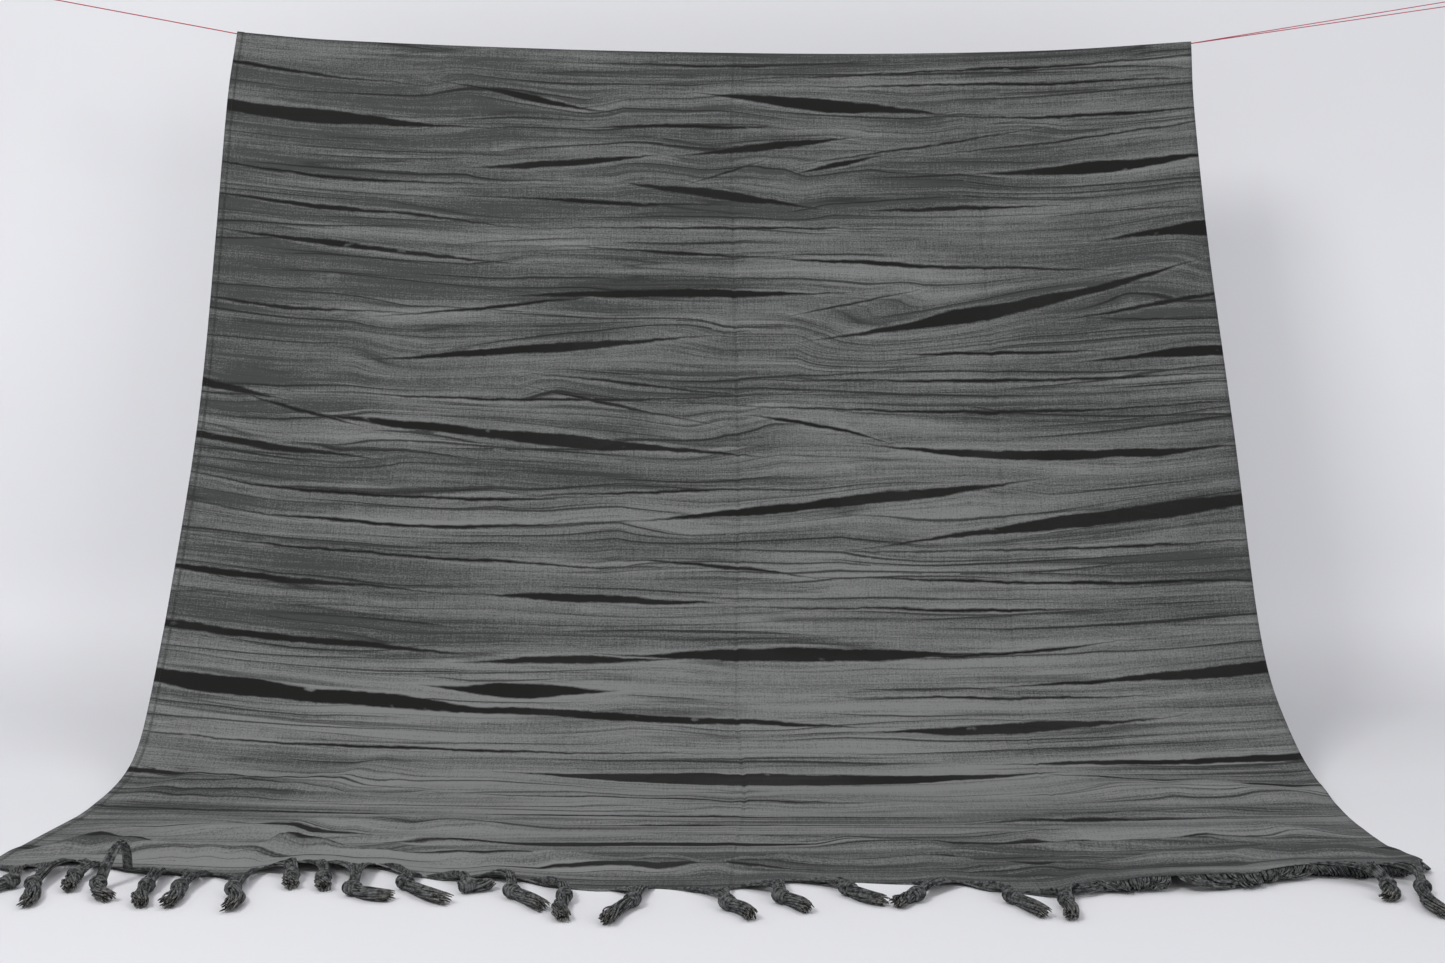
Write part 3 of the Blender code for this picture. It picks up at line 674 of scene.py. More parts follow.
def sheet_column(across):
    """The underside of the sheet down one line of its length, from the back hem to the front hem."""
    centre = Vector((across, LINE_Y, line_height(across)))
    points = []
    for share in reversed(even_shares(BACK_ROWS)):
        points.append((LINE_Y + FOLD_INNER_RADIUS, centre.z - BACK_FLAP_LENGTH * share))
    for step in range(FOLD_STEPS + 1):
        angle = (math.pi / 2 + TOP_SLOPE) * step / FOLD_STEPS
        points.append((centre.y + FOLD_INNER_RADIUS * math.cos(angle),
                       centre.z + FOLD_INNER_RADIUS * math.sin(angle)))
    start_y, start_z = points[-1]
    hung = float(np.interp(start_z, HEIGHT, ALONG))
    touch_y = start_y - float(np.interp(hung, ALONG, RUN))
    hem_y = follow(FRONT_HEM, 1, across) - hem_scallop(across)
    hem_lift = max(follow(FRONT_HEM, 2, across), 0.0)
    on_floor = touch_y - hem_y
    for share in even_shares(HANG_ROWS):
        up = hung * (1 - share)
        slope = float(np.interp(up, ALONG, SLOPES))
        raised = ridge_height(SOFT_FOLDS, across, up + on_floor) * ease(share / FOLDS_FADE_IN)
        height = float(np.interp(up, ALONG, HEIGHT)) + raised * math.cos(slope)
        points.append((touch_y + float(np.interp(up, ALONG, RUN)) - raised * math.sin(slope),
                       max(height, 0.0)))
    for share in even_shares(FLOOR_ROWS):
        hem_distance = on_floor * (1 - share)
        lift = hem_lift * (1 - ease(hem_distance / HEM_LIFT_RUN))
        raised = ridge_height(SOFT_FOLDS, across, hem_distance)
        points.append((touch_y - on_floor * share, max(lift + raised, 0.0)))
    full = hung + on_floor
    lengths = [0.0] * (BACK_ROWS + FOLD_STEPS + 1)
    lengths += [hung * share / full for share in even_shares(HANG_ROWS)]
    lengths += [(hung + on_floor * share) / full for share in even_shares(FLOOR_ROWS)]
    return [Vector((across + follow(SIDEWAYS_DRIFT, 1, share), y, z))
            for (y, z), share in zip(points, lengths)]


def distances_down(column):
    """Distance of each point from the crown of the fold, less than zero on the back flap."""
    steps = [0.0] + [(after - before).length for before, after in zip(column, column[1:])]
    along = np.cumsum(steps)
    return along - along[BACK_ROWS + FOLD_STEPS // 2]


def sheet_places():
    """Places across the sheet: the turned hem on the left, then even steps."""
    half = CLOTH_WIDTH / 2
    hem_end = -half + SIDE_HEM_WIDTH
    first = hem_end + SIDE_HEM_THICKNESS
    even = [first + (half - first) * step / SHEET_COLUMNS for step in range(SHEET_COLUMNS + 1)]
    for crease in PRESS_CREASES:
        even = [place for place in even if abs(place - crease) > PRESS_CREASE_CLEARANCE]
        even += [crease + step for step in PRESS_CREASE_STEPS]
    return [-half, -half + SIDE_HEM_WIDTH / 2, hem_end] + sorted(even)


def relief(across, down):
    """Small creases and unevenness of the cloth, away from the fold over the line."""
    if down < RELIEF_START:
        return 0.0
    lower = ease((down - UNEVEN_LOWER_FROM) / UNEVEN_LOWER_RUN)
    uneven = sum(strength * noise.noise(Vector((across * wide, down * high, place)))
                 for strength, wide, high, place in UNEVEN_WAVES)
    return ridge_height(SMALL_CREASES, across, down) + uneven * UNEVENNESS * (
        UNEVEN_UPPER + UNEVEN_LOWER_GAIN * lower)


def grain_down(across, down):
    """Distance down that the fine dye lines follow: they bend to run beside the streaks."""
    shift = np.zeros_like(down)
    total = np.zeros_like(down)
    for from_x, from_down, to_x, to_down, bow, half_width in DYE_STREAKS_AND_FOLD_SHADES:
        share = (across - from_x) / (to_x - from_x)
        inside = np.clip(share, 0.0, 1.0)
        lens = 4 * inside * (1 - inside)
        centre = from_down + (to_down - from_down) * inside + bow * lens
        offset = down - centre
        reach = BEND_REACH + BEND_REACH_PER_WIDTH * half_width
        near = np.exp(-((offset / reach) ** 2)) * (BEND_LEAST + half_width / BEND_FULL_WIDTH)
        near = near * np.exp(-(((share - inside) * (to_x - from_x) / BEND_PAST_END) ** 2))
        opening = np.tanh(offset / BEND_MIDDLE) * half_width * lens
        tilt = (centre - (from_down + to_down) / 2) * np.clip(BEND_TILT * lens, 0.0, 1.0)
        shift += near * (tilt + opening)
        total += near
    return down - shift / np.maximum(total, 1.0)


def streak_fit(rows, across, down):
    """Offset below a streak's middle and its half width there, less than zero past its ends."""
    from_x, from_down, to_x, to_down, bow, half_width = np.moveaxis(rows, -1, 0)
    share = (across - from_x) / (to_x - from_x)
    lens = 4 * share * (1 - share)
    offset = down - (from_down + (to_down - from_down) * share + bow * lens)
    least, more = STREAK_FULLNESS
    width = np.where(lens > 0, half_width * lens * (least + more * lens), PAST_END_FALL * lens)
    return offset, np.maximum(width, PAST_END_LIMIT)


def nearest_streaks(rows, across, down, layers):
    """For each face the streaks that lie deepest in it, fitted at its corners."""
    rows = np.array(rows)
    middle_x = across.mean(axis=1)
    middle_down = down.mean(axis=1)
    depths = np.full((layers, len(across)), OUTSIDE)
    chosen = np.zeros((layers, len(across)), dtype=np.int64)
    for index, row in enumerate(rows):
        offset, width = streak_fit(row, middle_x, middle_down)
        depth = width - np.abs(offset)
        for layer in range(layers):
            better = depth > depths[layer]
            for later in range(layers - 1, layer, -1):
                depths[later][better] = depths[later - 1][better]
                chosen[later][better] = chosen[later - 1][better]
            depths[layer][better] = depth[better]
            chosen[layer][better] = index
            depth = np.where(better, OUTSIDE, depth)
    return [streak_fit(rows[chosen[layer]][:, None, :], across, down) for layer in range(layers)]


def pleat_rows():
    """Thin lines of the dye's pleats, scattered evenly and seeded."""
    draw = random.Random(PLEAT_SEED)
    rows = []
    for index in range(PLEAT_COUNT):
        reached = index + draw.random()
        down = -BACK_FLAP_LENGTH + (CLOTH_LENGTH + PLEAT_OVERRUN) * reached / PLEAT_COUNT
        middle = draw.uniform(*PLEAT_MIDDLES)
        half = draw.uniform(*PLEAT_HALF_LENGTHS)
        tilt = draw.gauss(0.0, PLEAT_TILT)
        rows.append((middle - half, down - tilt * half, middle + half, down + tilt * half,
                     draw.gauss(0.0, PLEAT_BOW), draw.uniform(*PLEAT_HALF_WIDTHS)))
    return rows


class NodeBoard:
    """Adds and links the nodes of one material."""

    def __init__(self, tree):
        self.tree = tree

    def add(self, kind, **settings):
        """New node with these settings."""
        node = self.tree.nodes.new(kind)
        for name, value in settings.items():
            setattr(node, name, value)
        return node

    def fill(self, socket, value):
        """Link a socket, or set its value."""
        if isinstance(value, bpy.types.NodeSocket):
            self.tree.links.new(value, socket)
        else:
            socket.default_value = value

    def object_place(self):
        """Place on the object, in metres."""
        return self.add("ShaderNodeTexCoord").outputs["Object"]

    def uv_map(self, name):
        """Coordinates of one UV map."""
        return self.add("ShaderNodeUVMap", uv_map=name).outputs[0]

    def math(self, operation, *values, use_clamp=False):
        """Result of one sum."""
        node = self.add("ShaderNodeMath", operation=operation, use_clamp=use_clamp)
        for socket, value in zip(node.inputs, values):
            self.fill(socket, value)
        return node.outputs[0]

    def stretch(self, value, low, high, to_low=0.0, to_high=1.0, smooth=True):
        """Value moved from one range to another and held at its ends."""
        kind = "SMOOTHSTEP" if smooth else "LINEAR"
        node = self.add("ShaderNodeMapRange", interpolation_type=kind)
        for socket, given in zip(node.inputs, (value, low, high, to_low, to_high)):
            self.fill(socket, given)
        return node.outputs[0]

    def noise(self, coordinates, scale, detail=2.0, roughness=0.5, place=(0, 0, 0)):
        """Soft noise from 0 to 1, stretched by its scale."""
        mapping = self.add("ShaderNodeMapping")
        self.fill(mapping.inputs["Vector"], coordinates)
        mapping.inputs["Scale"].default_value = scale
        mapping.inputs["Location"].default_value = place
        node = self.add("ShaderNodeTexNoise")
        self.fill(node.inputs["Vector"], mapping.outputs[0])
        node.inputs["Scale"].default_value = 1.0
        node.inputs["Detail"].default_value = detail
        node.inputs["Roughness"].default_value = roughness
        return node.outputs[0]

    def parts(self, vector, axes="XY"):
        """Some of a vector's parts."""
        node = self.add("ShaderNodeSeparateXYZ")
        self.fill(node.inputs[0], vector)
        return [node.outputs[axis] for axis in axes]

    def swing(self, field, middle, strength, total, use_clamp=False):
        """Total plus the field's distance from its middle, times a strength."""
        offset = self.math("SUBTRACT", field, middle)
        return self.math("MULTIPLY_ADD", offset, strength, total, use_clamp=use_clamp)

    def mix(self, share, first, second):
        """Colour between two colours."""
        node = self.add("ShaderNodeMix", data_type="RGBA")
        colours = [socket for socket in node.inputs if socket.type == "RGBA"]
        self.fill(node.inputs["Factor"], share)
        self.fill(colours[0], first)
        self.fill(colours[1], second)
        return next(socket for socket in node.outputs if socket.type == "RGBA")

    def bump(self, height, distance, strength=1.0):
        """Normal of a low relief."""
        node = self.add("ShaderNodeBump")
        node.inputs["Strength"].default_value = strength
        node.inputs["Distance"].default_value = distance
        self.fill(node.inputs["Height"], height)
        return node.outputs[0]


def new_material(name, roughness, metallic=0.0):
    """Material, the board of its nodes and its shader."""
    material = bpy.data.materials.new(name)
    material.use_nodes = True
    shader = material.node_tree.nodes["Principled BSDF"]
    shader.inputs["Roughness"].default_value = roughness
    shader.inputs["Metallic"].default_value = metallic
    return material, NodeBoard(material.node_tree), shader


def opaque(colour, gain=1.0):
    """Opaque colour, made darker or paler by a gain."""
    return (*[min(part * gain, 1.0) for part in colour], 1.0)


def streaks_and_fold_shades(board, shift, swell):
    """Black streaks, near the front hem partly painted shade of the folds, and the paler halo just
    outside them.
    """
    depths = []
    for name in ("streak_first", "streak_second"):
        offset, width = board.parts(board.uv_map(name))
        offset = board.math("ABSOLUTE", board.math("ADD", offset, shift))
        depths.append(board.math("SUBTRACT", board.math("MULTIPLY", width, swell), offset))
    inside = board.math("MAXIMUM", *depths)
    streak = board.stretch(inside, *STREAK_EDGE)
    halo = board.stretch(inside, *HALO_EDGE)
    return streak, board.math("MULTIPLY", halo, board.math("SUBTRACT", 1.0, streak))


def pleat_lines(board, shift):
    """Thin dark lines of the pleats, and the shade that fades out below them."""
    lines = []
    fades = []
    for name in ("pleat_first", "pleat_second"):
        offset, width = board.parts(board.uv_map(name))
        offset = board.math("MULTIPLY_ADD", shift, PLEAT_SWAY_SHARE, offset)
        here = board.stretch(width, 0.0, 0.0011)
        line = board.math("SUBTRACT", width, board.math("ABSOLUTE", offset))
        lines.append(board.math("MULTIPLY", board.stretch(line, *PLEAT_EDGE), here))
        fade = board.math("MULTIPLY", board.stretch(offset, 0.0, PLEAT_FADE, 1.0, 0.0),
                          board.stretch(offset, -0.001, 0.001))
        fades.append(board.math("MULTIPLY", fade, here))
    return board.math("MAXIMUM", *lines), board.math("MAXIMUM", *fades)


def grain_lines(board, field):
    """Dark lines that follow the grain, the shade below them, and hair-fine lines."""
    here = board.stretch(field["line_here"], 0.38, 0.58)
    side = board.math("SUBTRACT", field["line"], 0.5)
    line = board.stretch(board.math("ABSOLUTE", side), 0.0, 0.022, 1.0, 0.0)
    fade = board.math("MULTIPLY", board.stretch(side, 0.0, 0.11, 1.0, 0.0),
                      board.stretch(side, -0.004, 0.002))
    hair_side = board.math("ABSOLUTE", board.math("SUBTRACT", field["hair"], 0.5))
    hair = board.stretch(hair_side, 0.0, 0.030, 1.0, 0.0)
    return board.math("MULTIPLY", line, here), board.math("MULTIPLY", fade, here), hair


def ground_tone(board, field, across, down, shades):
    """Grey between the streaks, from 0 where it is darkest to 1 where it is palest: the dye's tone, with
    painted shade along the pressed creases and towards the front hem.
    """
    tone = board.stretch(down, 0.0, 1.7, 0.22, 0.70, smooth=False)
    # Painted shade: darker towards the front hem, with deeper bands there, for the shade among the folds
    # on the floor
    tone = board.math("SUBTRACT", tone, board.stretch(down, 1.85, 2.30, 0.0, 0.36))
    band_and_fold_shade_depth = board.stretch(down, 1.6, 2.1, 2.0, 3.6)
    swings = (("bands", 0.5, band_and_fold_shade_depth), ("soft", 0.5, 0.9), ("fine", 0.5, 1.05),
              ("threads", 1.0, 0.60), ("speckle", 0.5, 1.50))
    for name, middle, strength in swings:
        tone = board.swing(field[name], middle, strength, tone)
    corner = board.math("MULTIPLY", board.stretch(across, 0.1, 0.7),
                        board.stretch(down, 0.45, 0.1, 0.0, 1.0))
    sides = board.math("MULTIPLY", board.stretch(board.math("ABSOLUTE", across), 0.45, 1.05),
                       board.stretch(down, 0.25, 0.6))
    # Pale patches, the paler top right corner, the darker sides and the paler lower part
    terms = [(board.stretch(field["patches"], 0.56, 0.80), 0.34),
             (corner, 0.20),
             (sides, board.stretch(down, 1.1, 1.7, -0.17, -0.26)),
             (board.stretch(down, 1.2, 1.7), 0.14)]
    # Painted shade: a thin darker line along each pressed crease
    for crease, depth in zip(PRESS_CREASES, PRESS_CREASE_PAINTED_SHADES):
        beside = board.math("ABSOLUTE", board.math("SUBTRACT", across, crease))
        terms.append((board.stretch(beside, 0.001, 0.005, 1.0, 0.0), depth))
    for share, strength in terms + shades:
        tone = board.math("MULTIPLY_ADD", share, strength, tone)
    return board.math("ADD", tone, 0.0, use_clamp=True)


def dyed_cotton(settings):
    """Plain-woven cotton: grey, with fine dye lines, bands and black resist streaks across it, and
    painted shade along the pressed creases and among the folds by the front hem.
    """
    material, board, shader = new_material("dyed_cotton_weave", 0.93)
    maps = {name: board.uv_map(name) for name in ("cloth", "grain")}
    across, down = board.parts(maps["cloth"])
    field = {}
    for name, (layer, wide, high, detail, roughness, place) in CLOTH_NOISES.items():
        field[name] = board.noise(maps[layer], (wide, high, 1.0), detail, roughness, (*place, 0.0))
    field["threads"] = board.math("ADD", field["warp"], field["weft"])

    shift = board.math("MULTIPLY", board.math("SUBTRACT", field["sway"], 0.5), STREAK_SWAY)
    shift = board.swing(field["ragged"], 0.5, STREAK_RAGGEDNESS, shift)
    swell = board.stretch(field["swell"], 0.30, 0.70, 0.60, 1.18, smooth=False)
    streak, halo = streaks_and_fold_shades(board, shift, swell)
    pleat, pleat_fade = pleat_lines(board, shift)
    line, fade, hair = grain_lines(board, field)
    shades = [(halo, 0.16), (fade, -0.30), (pleat_fade, -0.34), (hair, -0.26)]
    tone = ground_tone(board, field, across, down, shades)
    ground = board.mix(tone, opaque(settings.cloth_grey), opaque(settings.pale_grey))

    tie_gap = board.stretch(field["ties"], 0.68, 0.76, 1.0, 0.30)
    dye_depth = board.swing(field["soft"], 0.5, 0.35, 0.98, use_clamp=True)
    streak = board.math("MULTIPLY", board.math("MULTIPLY", streak, tie_gap), dye_depth)
    hem_side = board.math("ABSOLUTE", board.math("SUBTRACT", across, HEM_END_ACROSS))
    # The streaks' black also paints the shade in the valleys of the folds by the front hem
    ink_and_fold_shade = board.math("MAXIMUM", streak, board.math("MULTIPLY", line, 0.50))
    ink_and_fold_shade = board.math("MAXIMUM", ink_and_fold_shade, board.math("MULTIPLY", pleat, 0.72))
    ink_and_fold_shade = board.math("MAXIMUM", ink_and_fold_shade, board.stretch(hem_side, 0.0010, 0.0035, 0.42, 0.0))
    colour = board.mix(ink_and_fold_shade, ground, opaque(settings.streak_black))
    board.fill(shader.inputs["Base Color"], colour)
    shader.inputs["Sheen Weight"].default_value = 0.02
    shader.inputs["Sheen Roughness"].default_value = 0.5
    shader.inputs["Specular IOR Level"].default_value = 0.12

    weave = board.math("MULTIPLY", field["fine"], 0.4)
    weave = board.math("MULTIPLY_ADD", field["threads"], 0.5, weave)
    board.fill(shader.inputs["Normal"], board.bump(weave, 0.0006, 0.55))
    return material


def tassel_yarn(settings):
    """Twisted cotton yarn, dark grey, a little paler at its cut ends."""
    material, board, shader = new_material("tassel_yarn_twist", 0.92)
    place = board.object_place()
    tip = board.add("ShaderNodeAttribute", attribute_name="cut_end").outputs["Fac"]
    strands = board.noise(place, (150.0, 150.0, 150.0), 2.0, 0.6)
    fibres = board.noise(place, (900.0, 900.0, 900.0), 1.0, 0.5)
    worn = board.math("MULTIPLY", board.stretch(tip, 0.55, 1.0), board.stretch(strands, 0.35, 0.65))
    tone = board.stretch(strands, 0.30, 0.72)
    colour = board.mix(tone, opaque(settings.yarn_grey, 0.28), opaque(settings.yarn_grey, 2.6))
    colour = board.mix(board.math("MULTIPLY", worn, 0.6), colour, opaque(CUT_END_COLOUR))
    board.fill(shader.inputs["Base Color"], colour)
    shader.inputs["Sheen Weight"].default_value = 0.04
    shader.inputs["Specular IOR Level"].default_value = 0.12
    board.fill(shader.inputs["Normal"], board.bump(fibres, 0.0004, 0.6))
    return material


def seam_thread(settings):
    """Plain sewing thread, a shade darker than the cloth."""
    material, board, shader = new_material("seam_thread", 0.8)
    tone = board.noise(board.object_place(), (40.0, 40.0, 700.0), 2.0, 0.5)
    colour = board.mix(tone, opaque(settings.cloth_grey, 0.3), opaque(settings.cloth_grey, 0.9))
    board.fill(shader.inputs["Base Color"], colour)
    board.fill(shader.inputs["Normal"], board.bump(tone, 0.0002, 0.5))
    return material


def red_string(settings):
    """Twisted string: diagonal plies along it with painted shade in the grooves between them, the red a
    little uneven.
    """
    material, board, shader = new_material("red_string_twist", 0.7)
    place = board.object_place()
    along, level = board.parts(place, "XZ")
    turn = board.math("MULTIPLY", level, PLY_TWIST_UP)
    turn = board.math("MULTIPLY_ADD", along, PLY_TWIST_ALONG, turn)
    plies = board.math("MULTIPLY_ADD", board.math("SINE", turn), 0.5, 0.5)
    worn = board.noise(place, (60.0, 300.0, 300.0), 2.0, 0.6)
    # Painted shade: the red is darker in the grooves between the plies
    shade = board.math("MULTIPLY_ADD", plies, 0.6, board.math("MULTIPLY", worn, 0.4))
    colour = board.mix(shade, opaque(settings.string_red, 0.45), opaque(settings.string_red, 1.15))
    board.fill(shader.inputs["Base Color"], colour)
    shader.inputs["Sheen Weight"].default_value = 0.2
    board.fill(shader.inputs["Normal"], board.bump(plies, 0.0004, 0.7))
    return material


def zinc_steel():
    """Zinc-plated steel with fine brushing and dull patches."""
    material, board, shader = new_material("zinc_plated_steel", 0.35, 1.0)
    place = board.object_place()
    patches = board.noise(place, (90.0, 90.0, 90.0), 3.0, 0.6)
    brushing = board.noise(place, (80.0, 80.0, 1600.0), 2.0, 0.5)
    colour = board.mix(patches, opaque(DULL_ZINC), opaque(BRIGHT_ZINC))
    board.fill(shader.inputs["Base Color"], colour)
    board.fill(shader.inputs["Roughness"], board.stretch(patches, 0.3, 0.7, 0.28, 0.46))
    board.fill(shader.inputs["Normal"], board.bump(brushing, 0.0002, 0.3))
    return material


def pale_stage(settings, name, clear_back=False):
    """Matt pale paper of the floor and backdrop, with painted light that makes the wall a little paler,
    most in its lower part.
    """
    material, board, shader = new_material(name, 0.9)
    place = board.object_place()
    soft = board.noise(place, (0.9, 0.9, 0.9), 2.0, 0.5)
    colour = board.mix(soft, opaque(settings.floor_white, 0.97), opaque(settings.floor_white))
    # Painted light: the wall is made paler from just above the floor, less so higher up
    [height] = board.parts(place, "Z")
    faded = board.stretch(height, *WALL_FADES, 0.0, WALL_FADED_SHARE)
    paler = board.math("SUBTRACT", board.stretch(height, *WALL_BEGINS), faded)
    colour = board.mix(paler, colour, opaque(settings.floor_white, WALL_LIGHT_GAIN))
    board.fill(shader.inputs["Base Color"], colour)
    shader.inputs["Specular IOR Level"].default_value = 0.1
    if clear_back:
        seen = board.add("ShaderNodeMixShader")
        clear = board.add("ShaderNodeBsdfTransparent")
        board.fill(seen.inputs[0], board.add("ShaderNodeNewGeometry").outputs["Backfacing"])
        board.fill(seen.inputs[1], shader.outputs[0])
        board.fill(seen.inputs[2], clear.outputs[0])
        board.fill(material.node_tree.nodes["Material Output"].inputs["Surface"], seen.outputs[0])
    return material


def link_mesh(name, mesh, material):
    """New object with this mesh and one material."""
    mesh.materials.clear()
    mesh.materials.append(material)
    thing = bpy.data.objects.new(name, mesh)
    bpy.context.scene.collection.objects.link(thing)
    return thing


def strands_mesh(name, strands, roundness):
    """Closed round strands as one mesh, each strand a list of points and the radius at each."""
    data = bpy.data.curves.new(name + "_guide", "CURVE")
    data.dimensions = "3D"
    data.bevel_depth = 1.0
    data.bevel_resolution = roundness
    data.use_fill_caps = True
    for points, radii in strands:
        spline = data.splines.new("POLY")
        spline.points.add(len(points) - 1)
        for knot, place, radius in zip(spline.points, points, radii):
            knot.co = (*place, 1.0)
            knot.radius = radius
    guide = bpy.data.objects.new(name + "_guide", data)
    bpy.context.scene.collection.objects.link(guide)
    depsgraph = bpy.context.evaluated_depsgraph_get()
    mesh = bpy.data.meshes.new_from_object(guide.evaluated_get(depsgraph))
    mesh.name = name
    bpy.data.objects.remove(guide, do_unlink=True)
    bpy.data.curves.remove(data)
    return mesh


def tidy_strands(mesh, core=None):
    """Merge the strands' doubles, add a round core, turn faces outward and shade smoothly."""
    bm = bmesh.new()
    bm.from_mesh(mesh)
    bmesh.ops.remove_doubles(bm, verts=bm.verts, dist=DOUBLES_DISTANCE)
    if core is not None:
        bmesh.ops.create_icosphere(bm, subdivisions=3, radius=1.0, matrix=core)
    bmesh.ops.recalc_face_normals(bm, faces=bm.faces)
    bm.to_mesh(mesh)
    bm.free()
    mesh.shade_smooth()


def sheet_shape(places):
    """Points of the sheet's underside with its small creases, and their places in the flat cloth."""
    columns = [sheet_column(across) for across in places]
    downs = np.array([distances_down(column) for column in columns])
    points = np.array([[tuple(point) for point in column] for column in columns])
    acrosses = np.repeat(np.array(places)[:, None], points.shape[1], axis=1)
    normals = np.cross(np.gradient(points, axis=1), np.gradient(points, axis=0))
    normals /= np.linalg.norm(normals, axis=2)[:, :, None]
    raised = np.vectorize(relief)(acrosses, downs)
    points = points + normals * raised[:, :, None]
    points[:, :, 2] = np.maximum(points[:, :, 2], 0.0)
    return points, acrosses, downs


def grid_mesh(name, points):
    """Mesh of a grid bent to these points, and the column and row of each of its vertices."""
    columns, rows = points.shape[:2]
    bm = bmesh.new()
    bmesh.ops.create_grid(bm, x_segments=columns - 1, y_segments=rows - 1, size=1.0)
    cells = []
    for vert in bm.verts:
        column = round((vert.co.x + 1) / 2 * (columns - 1))
        row = round((1 - vert.co.y) / 2 * (rows - 1))
        vert.co = points[column, row]
        cells.append((column, row))
    mesh = bpy.data.meshes.new(name)
    bm.to_mesh(mesh)
    bm.free()
    return mesh, np.array(cells)


def lay_pattern(mesh, cells, acrosses, downs):
    """UV maps of the flat cloth, its bent grain, and the streaks and pleats that lie in each face."""
    loop_verts = np.empty(len(mesh.loops), dtype=np.int64)
    mesh.loops.foreach_get("vertex_index", loop_verts)
    column_of, row_of = cells[loop_verts].T
    across = acrosses[column_of, row_of]
    down = downs[column_of, row_of]
    grain = grain_down(acrosses, downs)[column_of, row_of]
    corners = across.reshape(-1, 4)
    streaks = nearest_streaks(DYE_STREAKS_AND_FOLD_SHADES, corners, down.reshape(-1, 4), 2)
    pleats = nearest_streaks(pleat_rows(), corners, grain.reshape(-1, 4), 2)
    layers = {"cloth": (across, down), "grain": (across, grain),
              "streak_first": streaks[0], "streak_second": streaks[1],
              "pleat_first": pleats[0], "pleat_second": pleats[1]}
    for name, pair in layers.items():
        layer = mesh.uv_layers.new(name=name)
        layer.data.foreach_set("uv", np.stack([part.ravel() for part in pair], axis=1).ravel())


def make_sheet(settings):
    """The woven sheet on the solid's folds, with its turned hem on the left."""
    points, acrosses, downs = sheet_shape(sheet_places())
    mesh, cells = grid_mesh("throw_cloth", points)
    lay_pattern(mesh, cells, acrosses, downs)
    mesh.shade_smooth()
    cloth = link_mesh("throw_cloth", mesh, dyed_cotton(settings))
    hem_verts = np.flatnonzero(cells[:, 0] < SIDE_HEM_COLUMNS).tolist()
    group = cloth.vertex_groups.new(name="thickness")
    group.add(range(len(mesh.vertices)), settings.cloth_thickness / SIDE_HEM_THICKNESS, "REPLACE")
    group.add(hem_verts, 1.0, "REPLACE")
    skin = cloth.modifiers.new("thickness", "SOLIDIFY")
    skin.thickness = SIDE_HEM_THICKNESS
    skin.vertex_group = group.name
    skin.offset = 1.0
    skin.use_even_offset = True
    return cloth


def make_seam(settings):
    """Row of stitches that holds the turned hem on the left."""
    across = -CLOTH_WIDTH / 2 + SEAM_INSET
    column = sheet_column(across)
    downs = distances_down(column)
    points = np.array([tuple(point) for point in column])
    along = np.gradient(points, axis=0)
    outward = np.stack([np.zeros(len(points)), along[:, 2], -along[:, 1]], axis=1)
    outward /= np.linalg.norm(outward, axis=1)[:, None]
    surface = points + outward * SIDE_HEM_THICKNESS

    def on_seam(down, lift):
        lifted = surface + outward * lift
        return [float(np.interp(down, downs, lifted[:, axis])) for axis in range(3)]

    strands = []
    for start in np.arange(STITCHES_START, downs[-1] - STITCH_PITCH, STITCH_PITCH):
        stitch = [on_seam(start + STITCH_LENGTH * share, lift) for share, lift, size in STITCH_SHAPE]
        strands.append((stitch, [STITCH_RADIUS * size for share, lift, size in STITCH_SHAPE]))
    mesh = strands_mesh("hem_seam", strands, 0)
    tidy_strands(mesh)
    return link_mesh("hem_seam", mesh, seam_thread(settings))


def hem_root(across):
    """Point just inside the front hem's edge, in the middle of its thickness."""
    column = sheet_column(across)
    return column[-1].lerp(column[-2], 0.5) + Vector((0, 0, CLOTH_THICKNESS / 2))


def bowed(start, middle, end, steps):
    """Points on a smooth bow from start to end that passes the middle."""
    control = middle * 2 - (start + end) / 2
    shares = [step / steps for step in range(steps + 1)]
    return [start * (1 - share) ** 2 + control * (2 * share * (1 - share)) + end * share ** 2
            for share in shares]


def fan_kind(row, tucked):
    """Number of yarns in a tassel's fan and how far the fan widens at the hem."""
    if tucked:
        return TUCKED_FAN
    if row[0] > WIDE_FAN_FROM:
        return WIDE_FAN
    if row[7] > LOOPED_RISE:
        return LOOPED_FAN
    return PLAIN_FAN


